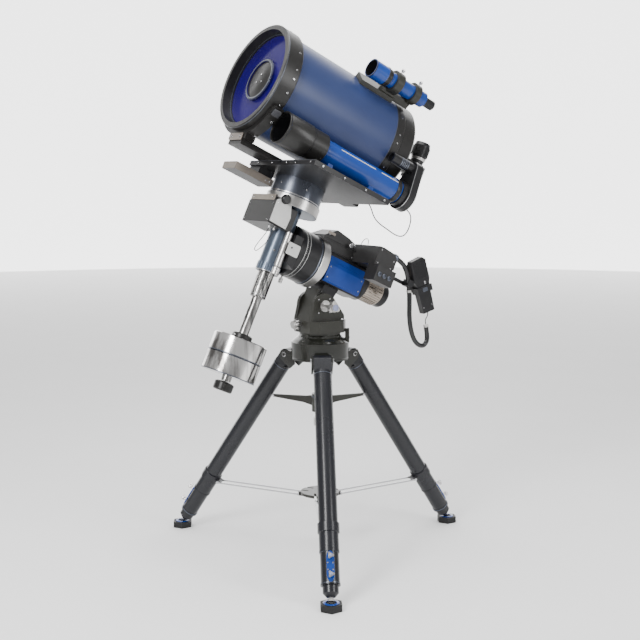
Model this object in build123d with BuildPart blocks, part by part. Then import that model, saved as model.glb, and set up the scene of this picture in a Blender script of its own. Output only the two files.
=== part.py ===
"""Large Schmidt-Cassegrain telescope on a German equatorial mount and a folding tripod.

Millimetres, +Z up, floor at z = 0, -X towards the pole that the mount points at.
TRIPOD_X, TRIPOD_Y is the tripod's vertical axis. The head frame turns with the polar axis:
its X runs along the polar axis towards the rear, its Z along the declination axis, and its
origin is where the two axes cross.
"""
from build123d import *
import os
from math import cos, radians, sin

os.makedirs("parts", exist_ok=True)

# ---------------------------------------------------------------- driving dimensions
TRIPOD_X, TRIPOD_Y = -94.2, 0.0  # tripod axis from the centre of the whole object's footprint
LATITUDE = 24.5                  # tilt of the polar axis above level
HEAD_FORWARD, HEAD_HEIGHT = 192.3, 1211.0   # where the two axes cross, from the tripod axis

LEG_ANGLES = (0, 120, 240)
LEG_SPREAD = 34.2                # angle of an open leg from vertical
PIVOT_RADIUS, PIVOT_HEIGHT = 137.0, 775.0
LEG_RADIUS, LEG_BORE, INNER_LEG_RADIUS = 34.0, 28.3, 28.0
GAP = 0.3                        # clearance between parts that move

CROWN_RADIUS, CROWN_BOTTOM, CROWN_TOP = 112.0, 764.0, 862.0
FORK_CHEEK_IN, FORK_CHEEK_OUT = 42.0, 60.0
AXLE_RADIUS = 12.0
AXLE_X, AXLE_Z = -20.0, 975.0    # altitude axle, from the tripod axis

HOUSING_HALF = 62.0              # half the width of the polar housing
DRUM_RADIUS, RING_RADIUS = 98.0, 100.0
DEC_RADIUS = 43.0
WEIGHT_RADIUS, SHAFT_RADIUS = 103.0, 19.0
WEIGHT_TOP, WEIGHT_JOINT, WEIGHT_BOTTOM = -382.0, -452.0, -525.0

SADDLE_BOTTOM, SADDLE_TOP, RAIL_TOP = 245.0, 263.0, 285.0
OTA_Z = 520.5                    # tube axis above the polar axis
FRONT_RADIUS, TUBE_RADIUS, GLASS_RADIUS = 205.0, 193.0, 185.7
TUBE_FRONT, TUBE_REAR, CELL_REAR = -274.0, 201.0, 308.0
GUIDE_Y, GUIDE_Z = -193.5, 347.0
FINDER_ANGLE, FINDER_DISTANCE = 39.0, 262.0

# ---------------------------------------------------------------- frames
LAT = radians(LATITUDE)
SPREAD = radians(LEG_SPREAD)
TRIPOD = Plane(origin=(TRIPOD_X, TRIPOD_Y, 0))
HEAD = Plane(
    origin=(TRIPOD_X - HEAD_FORWARD, TRIPOD_Y, HEAD_HEIGHT),
    x_dir=(cos(LAT), 0, -sin(LAT)),
    z_dir=(sin(LAT), 0, cos(LAT)),
)


def head(x, y, z):
    """A point of the head frame in the object's frame."""
    return HEAD.from_local_coords(Vector(x, y, z))


def head_axis(x, y, z, along):
    """A plane at a head-frame point whose normal is one of the head's axes."""
    if along == "x":
        return Plane(origin=head(x, y, z), x_dir=HEAD.y_dir, z_dir=HEAD.x_dir)
    if along == "y":
        return Plane(origin=head(x, y, z), x_dir=HEAD.z_dir, z_dir=HEAD.y_dir)
    if along == "-y":
        return Plane(origin=head(x, y, z), x_dir=HEAD.x_dir, z_dir=-HEAD.y_dir)
    if along == "-z":
        return Plane(origin=head(x, y, z), x_dir=HEAD.x_dir, z_dir=-HEAD.z_dir)
    return Plane(origin=head(x, y, z), x_dir=HEAD.x_dir, z_dir=HEAD.z_dir)


def radial(angle):
    """The tripod's frame turned so that x points out along one leg."""
    a = radians(angle)
    return Plane(origin=TRIPOD.origin, x_dir=(cos(a), sin(a), 0), z_dir=(0, 0, 1))


def leg_frame(angle):
    """Origin at the leg's pivot, z up along the leg, x square to it on the outside."""
    a = radians(angle)
    out = Vector(cos(a), sin(a), 0)
    up = Vector(0, 0, 1)
    pivot = TRIPOD.origin + out * PIVOT_RADIUS + up * PIVOT_HEIGHT
    return Plane(
        origin=pivot,
        x_dir=out * cos(SPREAD) + up * sin(SPREAD),
        z_dir=up * cos(SPREAD) - out * sin(SPREAD),
    )


def side_of(plane, y=0):
    """The plane's own x-z plane at a given y, looking along +y."""
    return Plane(origin=plane.from_local_coords(Vector(0, y, 0)), x_dir=plane.x_dir, z_dir=-plane.y_dir)


# ---------------------------------------------------------------- shapes used more than once
def turned(plane, outline):
    """A turned piece about the plane's normal; the outline is (radius, height) points."""
    with BuildPart() as piece:
        with BuildSketch(side_of(plane)):
            with BuildLine():
                Polyline(*outline, close=True)
            make_face()
        revolve(axis=Axis(plane.origin, plane.z_dir))
    return piece


def star_knob(plane, stem, stem_radius, lobe):
    """A clamp knob: stem, three-lobed head and round cap, standing on the plane."""
    with BuildPart(plane) as knob:
        Cylinder(stem_radius, stem + lobe, align=(Align.CENTER, Align.CENTER, Align.MIN))
        with Locations((0, 0, stem)):
            Cylinder(lobe, lobe, align=(Align.CENTER, Align.CENTER, Align.MIN))
            with PolarLocations(lobe, 3):
                Cylinder(0.55 * lobe, lobe, align=(Align.CENTER, Align.CENTER, Align.MIN))
        with Locations((0, 0, stem + lobe)):
            Cylinder(0.9 * lobe, 0.35 * lobe, align=(Align.CENTER, Align.CENTER, Align.MIN))
    return knob


def fluted(plane, outline, radius, low, high, flutes):
    """A turned piece with shallow grooves along part of its length."""
    piece = turned(plane, outline)
    with BuildPart() as cut:
        with BuildSketch(plane.offset(low)):
            with PolarLocations(radius, flutes):
                Circle(0.05 * radius)
        extrude(amount=high - low)
    with BuildPart() as grooved:
        add(piece)
        add(cut, mode=Mode.SUBTRACT)
    return grooved


def cord_tube(route, diameter):
    """A round cord along straight runs joined by the largest arcs that fit."""
    points = [Vector(*point) for point in route]
    bends = []
    for before, corner, after in zip(points, points[1:], points[2:]):
        turn = radians((corner - before).get_angle(after - corner))
        shorter = min((corner - before).length, (after - corner).length)
        bends.append(0.45 * shorter * cos(turn / 2) / sin(turn / 2))
    with BuildPart() as tube:
        with BuildLine() as path:
            FilletPolyline(*points, radius=bends)
        with BuildSketch(Plane(origin=points[0], z_dir=points[1] - points[0])):
            Circle(diameter / 2)
        sweep(path=path.wires()[0])
    length = path.wires()[0].length
    print("cord", round(length), "mm, radii", [round(bend) for bend in bends])
    print("volume", round(tube.part.volume), "of", round(3.1416 * diameter**2 / 4 * length))
    return tube


def save(piece, name):
    """Label a finished piece and write it as its own file."""
    piece.part.label = name
    export_step(piece.part, "parts/" + name + ".step")


# ---------------------------------------------------------------- tripod crown
CHEEK_IN, CHEEK_THICK = 33.3, 7.2

with BuildPart() as tripod_crown:
    with BuildSketch(side_of(TRIPOD)):
        with BuildLine():
            Polyline(
                (0, CROWN_TOP), (80, CROWN_TOP), (86, 852), (100, 842), (108, 834), (CROWN_RADIUS, 831),
                (CROWN_RADIUS, CROWN_BOTTOM), (98, CROWN_BOTTOM), (98, 818), (20, 818), (20, 764),
                (6, 764), (6, 205), (0, 205), close=True,
            )
        make_face()
    revolve(axis=Axis(TRIPOD.origin, TRIPOD.z_dir))
    for leg_angle in LEG_ANGLES:
        for side_y in (CHEEK_IN, -CHEEK_IN - CHEEK_THICK):
            with BuildSketch(side_of(radial(leg_angle), side_y + CHEEK_THICK)):
                with BuildLine():
                    Polyline((92, 790), (92, 738), (112, 720), (126, 732), (152, 756), (160, 775), (150, 792),
                             close=True)
                make_face()
            extrude(amount=CHEEK_THICK)
        with BuildSketch(side_of(radial(leg_angle), 46)):
            with Locations((PIVOT_RADIUS, PIVOT_HEIGHT)):
                Circle(6)
        extrude(amount=92)
tripod_crown.part.label = "tripod_crown"
export_step(tripod_crown.part, "parts/tripod_crown.step")

# ---------------------------------------------------------------- legs, feet, lock knobs, tie rods
TIE_X, TIE_ALONG = -46.0, -645.0     # lower tie-rod pivot in the leg's frame
TIE_SPACING, TIE_INNER = 22.0, 86.0
TIE_RADIUS = PIVOT_RADIUS + TIE_X * cos(SPREAD) - TIE_ALONG * sin(SPREAD)
TIE_HEIGHT = PIVOT_HEIGHT + TIE_X * sin(SPREAD) + TIE_ALONG * cos(SPREAD)
BALL_ALONG = (22.0 - PIVOT_HEIGHT) / cos(SPREAD)
BALL_RADIUS = PIVOT_RADIUS - BALL_ALONG * sin(SPREAD)
KNOB_ALONG = {"upper": -757.0, "lower": -822.0}

for number, leg_angle in enumerate(LEG_ANGLES, start=1):
    frame = leg_frame(leg_angle)
    with BuildPart(frame) as leg_tube:
        with BuildSketch(side_of(frame)):
            with BuildLine():
                Polyline(
                    (0, -46), (LEG_RADIUS, -46), (LEG_RADIUS, -629), (39, -631), (39, -664), (35, -666),
                    (35, -728), (36, -728), (36, -735), (33, -735), (33, -843), (35, -843), (35, -850),
                    (LEG_BORE, -850), (LEG_BORE, -440), (30.5, -440), (30.5, -60), (0, -60), close=True,
                )
            make_face()
        revolve(axis=Axis(frame.origin, frame.z_dir))
        with BuildSketch(side_of(frame, 33)):
            with Locations((0, -25)):
                Rectangle(44, 50)
            Circle(22)
            Circle(6.3, mode=Mode.SUBTRACT)
        extrude(amount=66)
        with Locations((TIE_X + 6, 0, TIE_ALONG)):
            Box(18, 30, 14)
        with BuildSketch(side_of(frame, 18.7)):
            with Locations((TIE_X, TIE_ALONG)):
                Circle(3)
        extrude(amount=37.4)
    save(leg_tube, f"leg_{number}_tube")

    with BuildPart(frame) as inner_leg:
        with BuildSketch(side_of(frame)):
            with BuildLine():
                Polyline(
                    (0, -500), (INNER_LEG_RADIUS, -500), (INNER_LEG_RADIUS, -876), (15, -890), (4, -891),
                    (4, BALL_ALONG), (0, BALL_ALONG), close=True,
                )
            make_face()
        revolve(axis=Axis(frame.origin, frame.z_dir))
        with Locations((0, 0, BALL_ALONG)):
            Sphere(8)
    save(inner_leg, f"leg_{number}_inner")

    with BuildPart(radial(leg_angle)) as foot:
        with BuildSketch(radial(leg_angle)):
            with Locations((BALL_RADIUS, 0)):
                RegularPolygon(radius=36.5, side_count=6, major_radius=False)
        extrude(amount=24)
        with Locations((BALL_RADIUS, 0, 22)):
            Sphere(8 + GAP, mode=Mode.SUBTRACT)
            Cylinder(8 + GAP, 10, align=(Align.CENTER, Align.CENTER, Align.MIN), mode=Mode.SUBTRACT)
    save(foot, f"leg_{number}_foot")

    for place, along in KNOB_ALONG.items():
        knob_plane = Plane(
            origin=frame.from_local_coords(Vector(35.5, 0, along)), x_dir=frame.y_dir, z_dir=frame.x_dir
        )
        save(star_knob(knob_plane, 12, 4, 8), f"leg_{number}_knob_{place}")

    with BuildPart() as tie_rods:
        for side_y in (TIE_SPACING, -TIE_SPACING):
            with BuildSketch(side_of(radial(leg_angle), side_y + 3)):
                with Locations(((TIE_INNER + TIE_RADIUS) / 2, TIE_HEIGHT)):
                    Rectangle(TIE_RADIUS - TIE_INNER, 6)
                with Locations((TIE_INNER, TIE_HEIGHT), (TIE_RADIUS, TIE_HEIGHT)):
                    Circle(5)
            extrude(amount=6)
    save(tie_rods, f"leg_{number}_tie_rods")

DISC_BOTTOM, DISC_TOP, DISC_RADIUS = 223.0, 234.0, 76.0
with BuildPart() as tie_disc:
    with BuildSketch(TRIPOD.offset(DISC_BOTTOM)):
        Circle(DISC_RADIUS)
        Circle(6.5, mode=Mode.SUBTRACT)
        for leg_angle in LEG_ANGLES:
            for side_y in (TIE_SPACING, -TIE_SPACING):
                with Locations(Location((0, 0, 0), (0, 0, leg_angle))):
                    with Locations((58, side_y)):
                        Rectangle(36, 9, mode=Mode.SUBTRACT)
    extrude(amount=DISC_TOP - DISC_BOTTOM)
    for leg_angle in LEG_ANGLES:
        with BuildSketch(side_of(radial(leg_angle), 15)):
            with Locations((78, TIE_HEIGHT)):
                Rectangle(22, 16)
        extrude(amount=30)
        with BuildSketch(side_of(radial(leg_angle), 18.7)):
            with Locations((TIE_INNER, TIE_HEIGHT)):
                Circle(3)
        extrude(amount=37.4)
save(tie_disc, "tie_disc")

# ---------------------------------------------------------------- upper spreader and its knob
ARM_TIP = 209.0
with BuildPart(TRIPOD) as leg_spreader:
    with BuildSketch(TRIPOD.offset(555)):
        Circle(32)
    extrude(amount=70)
    for leg_angle in LEG_ANGLES:
        with BuildSketch(side_of(radial(leg_angle), 4)):
            with BuildLine():
                Polyline((20, 618), (60, 611), (ARM_TIP, 605), (ARM_TIP, 595), (70, 584), (20, 572), close=True)
            make_face()
        extrude(amount=8)
    with BuildSketch(TRIPOD.offset(540)):
        Circle(6.5)
    extrude(amount=100, mode=Mode.SUBTRACT)
save(leg_spreader, "leg_spreader")

with BuildPart(TRIPOD) as tension_knob:
    with BuildSketch(TRIPOD.offset(500)):
        Circle(20)
        with PolarLocations(20, 6):
            Circle(7)
    extrude(amount=30)
    with BuildSketch(TRIPOD.offset(530)):
        Circle(14)
    extrude(amount=25 - GAP)
    with BuildSketch(TRIPOD.offset(490)):
        Circle(6.5)
    extrude(amount=80, mode=Mode.SUBTRACT)
save(tension_knob, "tension_knob")

# ---------------------------------------------------------------- azimuth fork and adjusting knobs
BASE_HALF, BASE_BOTTOM, BASE_TOP = 82.0, 870.0, 917.0
with BuildPart(TRIPOD) as azimuth_fork:
    with BuildSketch(TRIPOD.offset(CROWN_TOP + GAP)):
        Circle(80)
    extrude(amount=BASE_BOTTOM - CROWN_TOP - GAP)
    with BuildSketch(TRIPOD.offset(BASE_BOTTOM)):
        base_square = Rectangle(2 * BASE_HALF, 2 * BASE_HALF)
        chamfer(base_square.vertices(), length=27)
    extrude(amount=BASE_TOP - BASE_BOTTOM)
    for side_y in (FORK_CHEEK_OUT, -FORK_CHEEK_IN):
        with BuildSketch(side_of(TRIPOD, side_y)):
            with BuildLine():
                Polyline((-BASE_HALF, BASE_TOP), (72, BASE_TOP), (72, 935), (22, 1005), (-60, 1005), close=True)
            make_face()
            with Locations((AXLE_X, AXLE_Z)):
                Circle(48)
        extrude(amount=FORK_CHEEK_OUT - FORK_CHEEK_IN)
    with BuildSketch(side_of(TRIPOD, FORK_CHEEK_IN)):
        with BuildLine():
            Polyline((-BASE_HALF, BASE_TOP), (-35, 1040), (-30, 1036), (-73, BASE_TOP), close=True)
        make_face()
    extrude(amount=2 * FORK_CHEEK_IN)
    with BuildSketch(side_of(TRIPOD, FORK_CHEEK_OUT + 1)):
        with Locations((AXLE_X, AXLE_Z)):
            Circle(AXLE_RADIUS)
    extrude(amount=2 * FORK_CHEEK_OUT + 2, mode=Mode.SUBTRACT)
save(azimuth_fork, "azimuth_fork")

azimuth_plane = Plane(
    origin=TRIPOD.from_local_coords(Vector(-BASE_HALF - GAP, 10, 902)), x_dir=(0, 1, 0), z_dir=(-1, 0, 0)
)
azimuth_knob = star_knob(azimuth_plane, 16, 7, 16)
save(azimuth_knob, "azimuth_knob")

axle_plane = Plane(origin=TRIPOD.from_local_coords(Vector(AXLE_X, 0, AXLE_Z)), x_dir=(1, 0, 0), z_dir=(0, -1, 0))
with BuildPart(axle_plane) as altitude_knob:
    with Locations((0, 0, -FORK_CHEEK_OUT)):
        Cylinder(AXLE_RADIUS - GAP, 2 * FORK_CHEEK_OUT + GAP, align=(Align.CENTER, Align.CENTER, Align.MIN))
    with Locations((0, 0, FORK_CHEEK_OUT + GAP)):
        Cylinder(22, 8, align=(Align.CENTER, Align.CENTER, Align.MIN))
        Cylinder(8, 55, align=(Align.CENTER, Align.CENTER, Align.MIN))
    with Locations((0, 0, 114)):
        Cylinder(18, 16, align=(Align.CENTER, Align.CENTER, Align.MIN))
        with PolarLocations(17, 3, start_angle=90):
            Cylinder(9, 16, align=(Align.CENTER, Align.CENTER, Align.MIN))
    with Locations((0, 0, 130)):
        Cylinder(15, 8, align=(Align.CENTER, Align.CENTER, Align.MIN))
save(altitude_knob, "altitude_knob")

# ---------------------------------------------------------------- polar housing, cover, motor boxes
TANG_X, TANG_Z = 254.7, -143.3       # altitude axle in the head frame
HOUSING_FRONT, HOUSING_REAR = 184.0, 395.0
with BuildPart(HEAD) as polar_housing:
    with BuildSketch(head_axis(HOUSING_FRONT, 0, 0, "x")):
        housing_square = Rectangle(2 * HOUSING_HALF, 2 * HOUSING_HALF)
        fillet(housing_square.vertices(), radius=14)
    extrude(amount=HOUSING_REAR - HOUSING_FRONT)
    with BuildSketch(head_axis(148, 0, 0, "x")):
        Circle(RING_RADIUS)
    extrude(amount=HOUSING_FRONT - 148)
    with BuildSketch(head_axis(HOUSING_REAR, 0, 0, "x")):
        Circle(HOUSING_HALF)
    extrude(amount=20)
    with BuildSketch(head_axis(HOUSING_REAR + 20, 0, 0, "x")):
        Circle(50)
    extrude(amount=125)
    fillet(polar_housing.faces().sort_by(Axis(head(0, 0, 0), HEAD.x_dir))[-1].edges(), radius=16)
    with BuildSketch(side_of(HEAD, FORK_CHEEK_IN - GAP)):
        with BuildLine():
            Polyline((234, -50), (305, -50), (281, TANG_Z), (229, TANG_Z), close=True)
        make_face()
        with Locations((TANG_X, TANG_Z)):
            Circle(26)
    extrude(amount=2 * FORK_CHEEK_IN - 2 * GAP)
    with BuildSketch(side_of(HEAD, FORK_CHEEK_IN)):
        with Locations((TANG_X, TANG_Z)):
            Circle(AXLE_RADIUS)
    extrude(amount=2 * FORK_CHEEK_IN, mode=Mode.SUBTRACT)
    with BuildSketch(head_axis(160, 0, 0, "x")):
        Circle(40)
    extrude(amount=365, mode=Mode.SUBTRACT)
save(polar_housing, "polar_housing")

with BuildPart(HEAD) as housing_cover:
    with BuildSketch(head_axis(198, 0, 0, "x")):
        with BuildLine():
            Polyline((-HOUSING_HALF, -48), (-70, -58), (-78, -52), (-81, 8), (-67, 44), (-HOUSING_HALF, 44),
                     close=True)
        make_face()
    extrude(amount=176)
    with Locations((286, -86, 28)):
        Box(118, 24, 12, rotation=(-35, 0, 0), mode=Mode.SUBTRACT)
save(housing_cover, "housing_cover")

with BuildPart(HEAD) as ra_motor_box:
    with BuildSketch(side_of(HEAD, 60)):
        with BuildLine():
            Polyline((152, HOUSING_HALF), (152, 109), (200, 146), (260, 138), (295, 128), (309, HOUSING_HALF),
                     close=True)
        make_face()
    extrude(amount=110)
    with BuildSketch(head_axis(140, 0, 0, "x")):
        Circle(RING_RADIUS + GAP)
    extrude(amount=HOUSING_FRONT + GAP - 140, mode=Mode.SUBTRACT)
save(ra_motor_box, "ra_motor_box")

with BuildPart(HEAD) as control_box:
    with BuildSketch(side_of(HEAD, -30)):
        with BuildLine():
            Polyline((310, HOUSING_HALF), (310, 134), (330, 136), (384, 132), (405, 112), (405, 74),
                     (392, HOUSING_HALF), close=True)
        make_face()
    extrude(amount=165)
    with Locations((355, -192.5, 31)):
        Box(90, 65, 62)
save(control_box, "control_box")

# ---------------------------------------------------------------- handset, its bracket and its cords
HANDSET_Y, HANDSET_TILT = -180.0, 16.4
handset_tilt = radians(HANDSET_TILT)
handset_plane = Plane(
    origin=TRIPOD.from_local_coords(Vector(384, HANDSET_Y, 940)),
    x_dir=(cos(handset_tilt), 0, sin(handset_tilt)),
    z_dir=(-sin(handset_tilt), 0, cos(handset_tilt)),
)
with BuildPart(handset_plane) as handset:
    with BuildSketch(side_of(handset_plane, 14)):
        with BuildLine():
            Polyline((-27, 0), (27, 0), (30, 110), (37, 130), (37, 205), (24, 218), (-30, 214), (-37, 200),
                     (-37, 130), (-30, 110), close=True)
        make_face()
    extrude(amount=28)
save(handset, "handset")

SLEEVE_DIAMETER, CORD_DIAMETER, CABLE_DIAMETER = 19.0, 4.0, 4.5
# both routes are (x, z) from the tripod axis, in the handset's own upright plane
SLEEVE_ROUTE = [
    (226, 1157), (262, 1135), (281, 1104), (289, 1072), (293.5, 1040), (296, 1008), (296.5, 970), (296, 932),
    (300, 894), (309, 858), (323, 828), (344, 809), (368, 804), (385, 821), (385.5, 850), (378, 888),
]
CORD_ROUTE = [(377.5, 891), (375, 903), (380, 914), (388, 924), (387, 938.5)]


def hanging(route):
    """Route points of the handset's plane in the object's frame."""
    return [TRIPOD.from_local_coords(Vector(x, HANDSET_Y, z)) for x, z in route]


clamp_points = hanging(SLEEVE_ROUTE[3:5])
with BuildPart() as handset_bracket:
    with BuildSketch(side_of(HEAD, -155)):
        with Locations((468, 54)):
            Rectangle(216, 14)
    extrude(amount=5)
    with BuildSketch(side_of(HEAD, -155)):
        with Locations((507, 58)):
            Rectangle(24, 26)
    extrude(amount=38)
    with BuildSketch(Plane(origin=clamp_points[0], z_dir=clamp_points[1] - clamp_points[0])):
        Circle(SLEEVE_DIAMETER / 2 + 1)
    extrude(amount=60, both=True, mode=Mode.SUBTRACT)
    with BuildSketch(handset_plane.offset(80)):
        Rectangle(72, 40)
        Rectangle(61, 28.8, mode=Mode.SUBTRACT)
    extrude(amount=26)
save(handset_bracket, "handset_bracket")
handset_sleeve = cord_tube(hanging(SLEEVE_ROUTE), SLEEVE_DIAMETER)
thin_cord = cord_tube(hanging(CORD_ROUTE), CORD_DIAMETER)
with BuildPart() as handset_cord:
    add(handset_sleeve)
    add(thin_cord)
save(handset_cord, "handset_cord")

# ---------------------------------------------------------------- right ascension: drum and tee
DRUM_FRONT, DRUM_REAR = 44.0, 147.7
setting_drum = turned(head_axis(DRUM_FRONT, 0, 0, "x"), [
    (0, 0), (94, 0), (DRUM_RADIUS, 4), (DRUM_RADIUS, DRUM_REAR - DRUM_FRONT), (39, DRUM_REAR - DRUM_FRONT),
    (39, 90), (80, 90), (80, 14), (0, 14),
])
save(setting_drum, "setting_drum")

clamp_plane = head_axis(68, 0, -DRUM_RADIUS - GAP, "-z")
ra_clamp_screw = turned(clamp_plane, [(0, 0), (4, 0), (4, 10), (8, 10), (8, 27), (6, 29), (0, 29)])
save(ra_clamp_screw, "ra_clamp_screw")

TEE_FRONT, TEE_HALF = 9.0, 95.0
DEC_FLAT = 34.0                      # the declination housing is flat here, against the tee
with BuildPart(HEAD) as tee_block:
    with BuildSketch(side_of(HEAD, TEE_HALF)):
        with BuildLine():
            Polyline((TEE_FRONT, -62), (DRUM_FRONT, -78), (DRUM_FRONT, 48), (TEE_FRONT, 48), close=True)
        make_face()
    extrude(amount=2 * TEE_HALF)
    with BuildSketch(head_axis(0, 0, -120, "z")):
        Circle(DEC_RADIUS + GAP)
        with Locations((DEC_FLAT + GAP + 20, 0)):
            Rectangle(40, 100, mode=Mode.SUBTRACT)
    extrude(amount=200, mode=Mode.SUBTRACT)
save(tee_block, "tee_block")

# ---------------------------------------------------------------- declination housing and motor
HOUSING_TOP, RING_BOTTOM, RING_TOP = 138.7, 139.0, 177.7
dec_plain = fluted(head_axis(0, 0, 0, "z"), [
    (20, -111), (44, -111), (46, -109), (46, -81), (DEC_RADIUS, -81),
    (DEC_RADIUS, RING_BOTTOM), (104, RING_BOTTOM), (104, RING_TOP), (20, RING_TOP),
], 46.0, -112.0, -81.0, 24)
with BuildPart() as dec_housing:
    add(dec_plain)
    with BuildSketch(side_of(HEAD, -67 + GAP)):
        with Locations((-78, 158)):
            Rectangle(100, 60)
    extrude(amount=60, mode=Mode.SUBTRACT)
    with BuildSketch(side_of(HEAD, 60)):
        with Locations((DEC_FLAT + 10, -16.5)):
            Rectangle(20, 129)
        with Locations((DRUM_FRONT - GAP + 10, -5.5)):
            Rectangle(20, 215)
    extrude(amount=120, mode=Mode.SUBTRACT)
save(dec_housing, "dec_housing")

with BuildPart(HEAD) as dec_motor_box:
    with Locations((-58.5, 26.5, 91.2)):
        Box(107, 187, 85.6)
    with Locations((-109, 26, 145.5)):
        Box(7, 172, 23)
    with BuildSketch(head_axis(0, 0, 40, "z")):
        Circle(DEC_RADIUS + 1)
    extrude(amount=110, mode=Mode.SUBTRACT)
    with BuildSketch(side_of(HEAD, -67)):
        with BuildLine():
            Polyline((-112, 52.5), (-33, 48.6), (-29, 98), (-50, 161), (-75, 168), (-113, 137.5), close=True)
        make_face()
    extrude(amount=8)
save(dec_motor_box, "dec_motor_box")

clutch_plane = head_axis(-80, -75 - GAP, 151, "-y")
clutch_knob = turned(clutch_plane, [(0, 0), (17, 0), (17, 13), (14, 16), (0, 16)])
save(clutch_knob, "clutch_knob")

dec_clamp = fluted(head_axis(-8, -70, 0, "z"), [
    (0, -118), (13, -118), (15, -116), (15, -92), (11, -88), (14.5, -84), (14.5, 47), (0, 47),
], 15.0, -119.0, -90.0, 14)
save(dec_clamp, "dec_clamp")

# ---------------------------------------------------------------- counterweights
counterweight_shaft = fluted(head_axis(0, 0, 0, "z"), [
    (0, -545), (SHAFT_RADIUS, -545), (SHAFT_RADIUS, -213), (29, -213), (31, -211), (31, -111 - GAP),
    (0, -111 - GAP),
], 31.0, -212.0, -116.0, 16)
save(counterweight_shaft, "counterweight_shaft")


def weight(bottom, top):
    """A round weight that slides on the shaft."""
    return turned(head_axis(0, 0, 0, "z"), [
        (SHAFT_RADIUS + 0.1, bottom), (WEIGHT_RADIUS - 3, bottom), (WEIGHT_RADIUS, bottom + 3),
        (WEIGHT_RADIUS, top - 3), (WEIGHT_RADIUS - 3, top), (SHAFT_RADIUS + 0.1, top),
    ])


weight_upper = weight(WEIGHT_JOINT + GAP, WEIGHT_TOP)
save(weight_upper, "weight_upper")
weight_lower = weight(WEIGHT_BOTTOM, WEIGHT_JOINT)
save(weight_lower, "weight_lower")
lock_collar = turned(head_axis(0, 0, 0, "z"), [
    (SHAFT_RADIUS + 0.1, WEIGHT_TOP + GAP), (38, WEIGHT_TOP + GAP), (38, -364), (34, -360),
    (SHAFT_RADIUS + 0.1, -360),
])
save(lock_collar, "weight_lock_collar")
end_knob = fluted(head_axis(0, 0, 0, "z"), [
    (0, -583), (33, -583), (37, -578), (37, -553), (30, -549), (0, -545 - GAP),
], 37.0, -584.0, -548.0, 12)
save(end_knob, "shaft_end_knob")

# ---------------------------------------------------------------- saddle head and plates
with BuildPart(HEAD) as dec_head:
    with BuildSketch(head_axis(0, 0, RING_TOP + GAP, "z")):
        Circle(99)
    extrude(amount=SADDLE_BOTTOM - RING_TOP - GAP)
    with BuildSketch(head_axis(0, 0, RING_TOP, "z")):
        Circle(80)
    extrude(amount=50, mode=Mode.SUBTRACT)
save(dec_head, "dec_head")

with BuildPart(HEAD) as saddle_plate:
    with Locations((-1, -121.5, 254)):
        Box(352, 447, 18)
    with Locations((-1, -115, 260)):
        Box(352, 8, 12, mode=Mode.SUBTRACT)
    with Locations((-185, 69, 203.5)):
        Box(170, 98, 27)
    with Locations((-137, 65, 231)):
        Box(66, 74, 28)
save(saddle_plate, "saddle_plate")

with BuildPart(HEAD) as dovetail_rail:
    with Locations((-34, 0, 274)):
        Box(568, 94, 22)
    with BuildSketch(head_axis(-317, 0, OTA_Z, "x")):
        Circle(222)
        Rectangle(120, 472)
        Circle(FRONT_RADIUS + GAP, mode=Mode.SUBTRACT)
        with Locations((0, 235)):
            Rectangle(600, 700, mode=Mode.SUBTRACT)
    extrude(amount=42)
    with BuildSketch(head_axis(205, 0, OTA_Z, "x")):
        with Locations((0, -218)):
            Rectangle(100, 36)
        Circle(194 + GAP, mode=Mode.SUBTRACT)
    extrude(amount=45)
save(dovetail_rail, "dovetail_rail")

# ---------------------------------------------------------------- optical tube
ota_axis = head_axis(0, 0, OTA_Z, "x")
main_tube = turned(ota_axis, [
    (190, TUBE_FRONT + GAP), (TUBE_RADIUS, TUBE_FRONT + GAP), (TUBE_RADIUS, TUBE_REAR - GAP),
    (190, TUBE_REAR - GAP),
])
save(main_tube, "main_tube")
front_ring = turned(ota_axis, [
    (186, -345.5), (202, -345.5), (FRONT_RADIUS, -342.5), (FRONT_RADIUS, -278), (201, TUBE_FRONT),
    (178, TUBE_FRONT), (178, -299.7), (186, -299.7), (186, -306.3), (179, -306.3), (179, -312), (186, -312),
])
save(front_ring, "front_ring")
corrector = turned(ota_axis, [
    (0, -280), (74, -280), (74, -299.5), (GLASS_RADIUS, -299.8), (GLASS_RADIUS, -306), (82, -306),
    (82, -318), (72, -318), (72, -313), (0, -313),
])
save(corrector, "corrector")
primary_mirror = turned(ota_axis, [
    (41, 262), (41, 226), (80, 222), (130, 215), (178, 205), (178, 262),
])
save(primary_mirror, "primary_mirror")
with BuildPart() as rear_cell:
    add(turned(ota_axis, [
        (32, 0), (36, 0), (36, 290), (184, 290), (184, TUBE_REAR), (194, TUBE_REAR), (194, 234),
        (191, 238), (189, 292), (180, 303), (168, CELL_REAR), (52, CELL_REAR), (52, 326), (32, 330),
        (32, 440), (24, 440), (24, 300), (32, 290),
    ]))
    with BuildSketch(side_of(HEAD, 29)):
        with Locations((469, 512)):
            Rectangle(64, 58)
    extrude(amount=58)
    with BuildSketch(head_axis(470, 0, 520, "z")):
        Circle(16)
    extrude(amount=30, mode=Mode.SUBTRACT)
save(rear_cell, "rear_cell")
focus_plane = head_axis(CELL_REAR + GAP, 95, OTA_Z - 60, "x")
focus_knob = fluted(focus_plane, [
    (0, 0), (8, 0), (8, 8), (19, 8), (20, 10), (20, 34), (17, 37), (0, 37),
], 20.0, 8.0, 38.0, 16)
save(focus_knob, "focus_knob")
eyepiece = turned(head_axis(470, 0, 0, "z"), [
    (0, 522), (15.7, 522), (15.7, 541.3), (24, 541.3), (27, 560), (32, 580), (34, 600), (34, 622),
    (30, 636), (20, 636), (16, 630), (0, 630),
])
save(eyepiece, "eyepiece")

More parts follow.
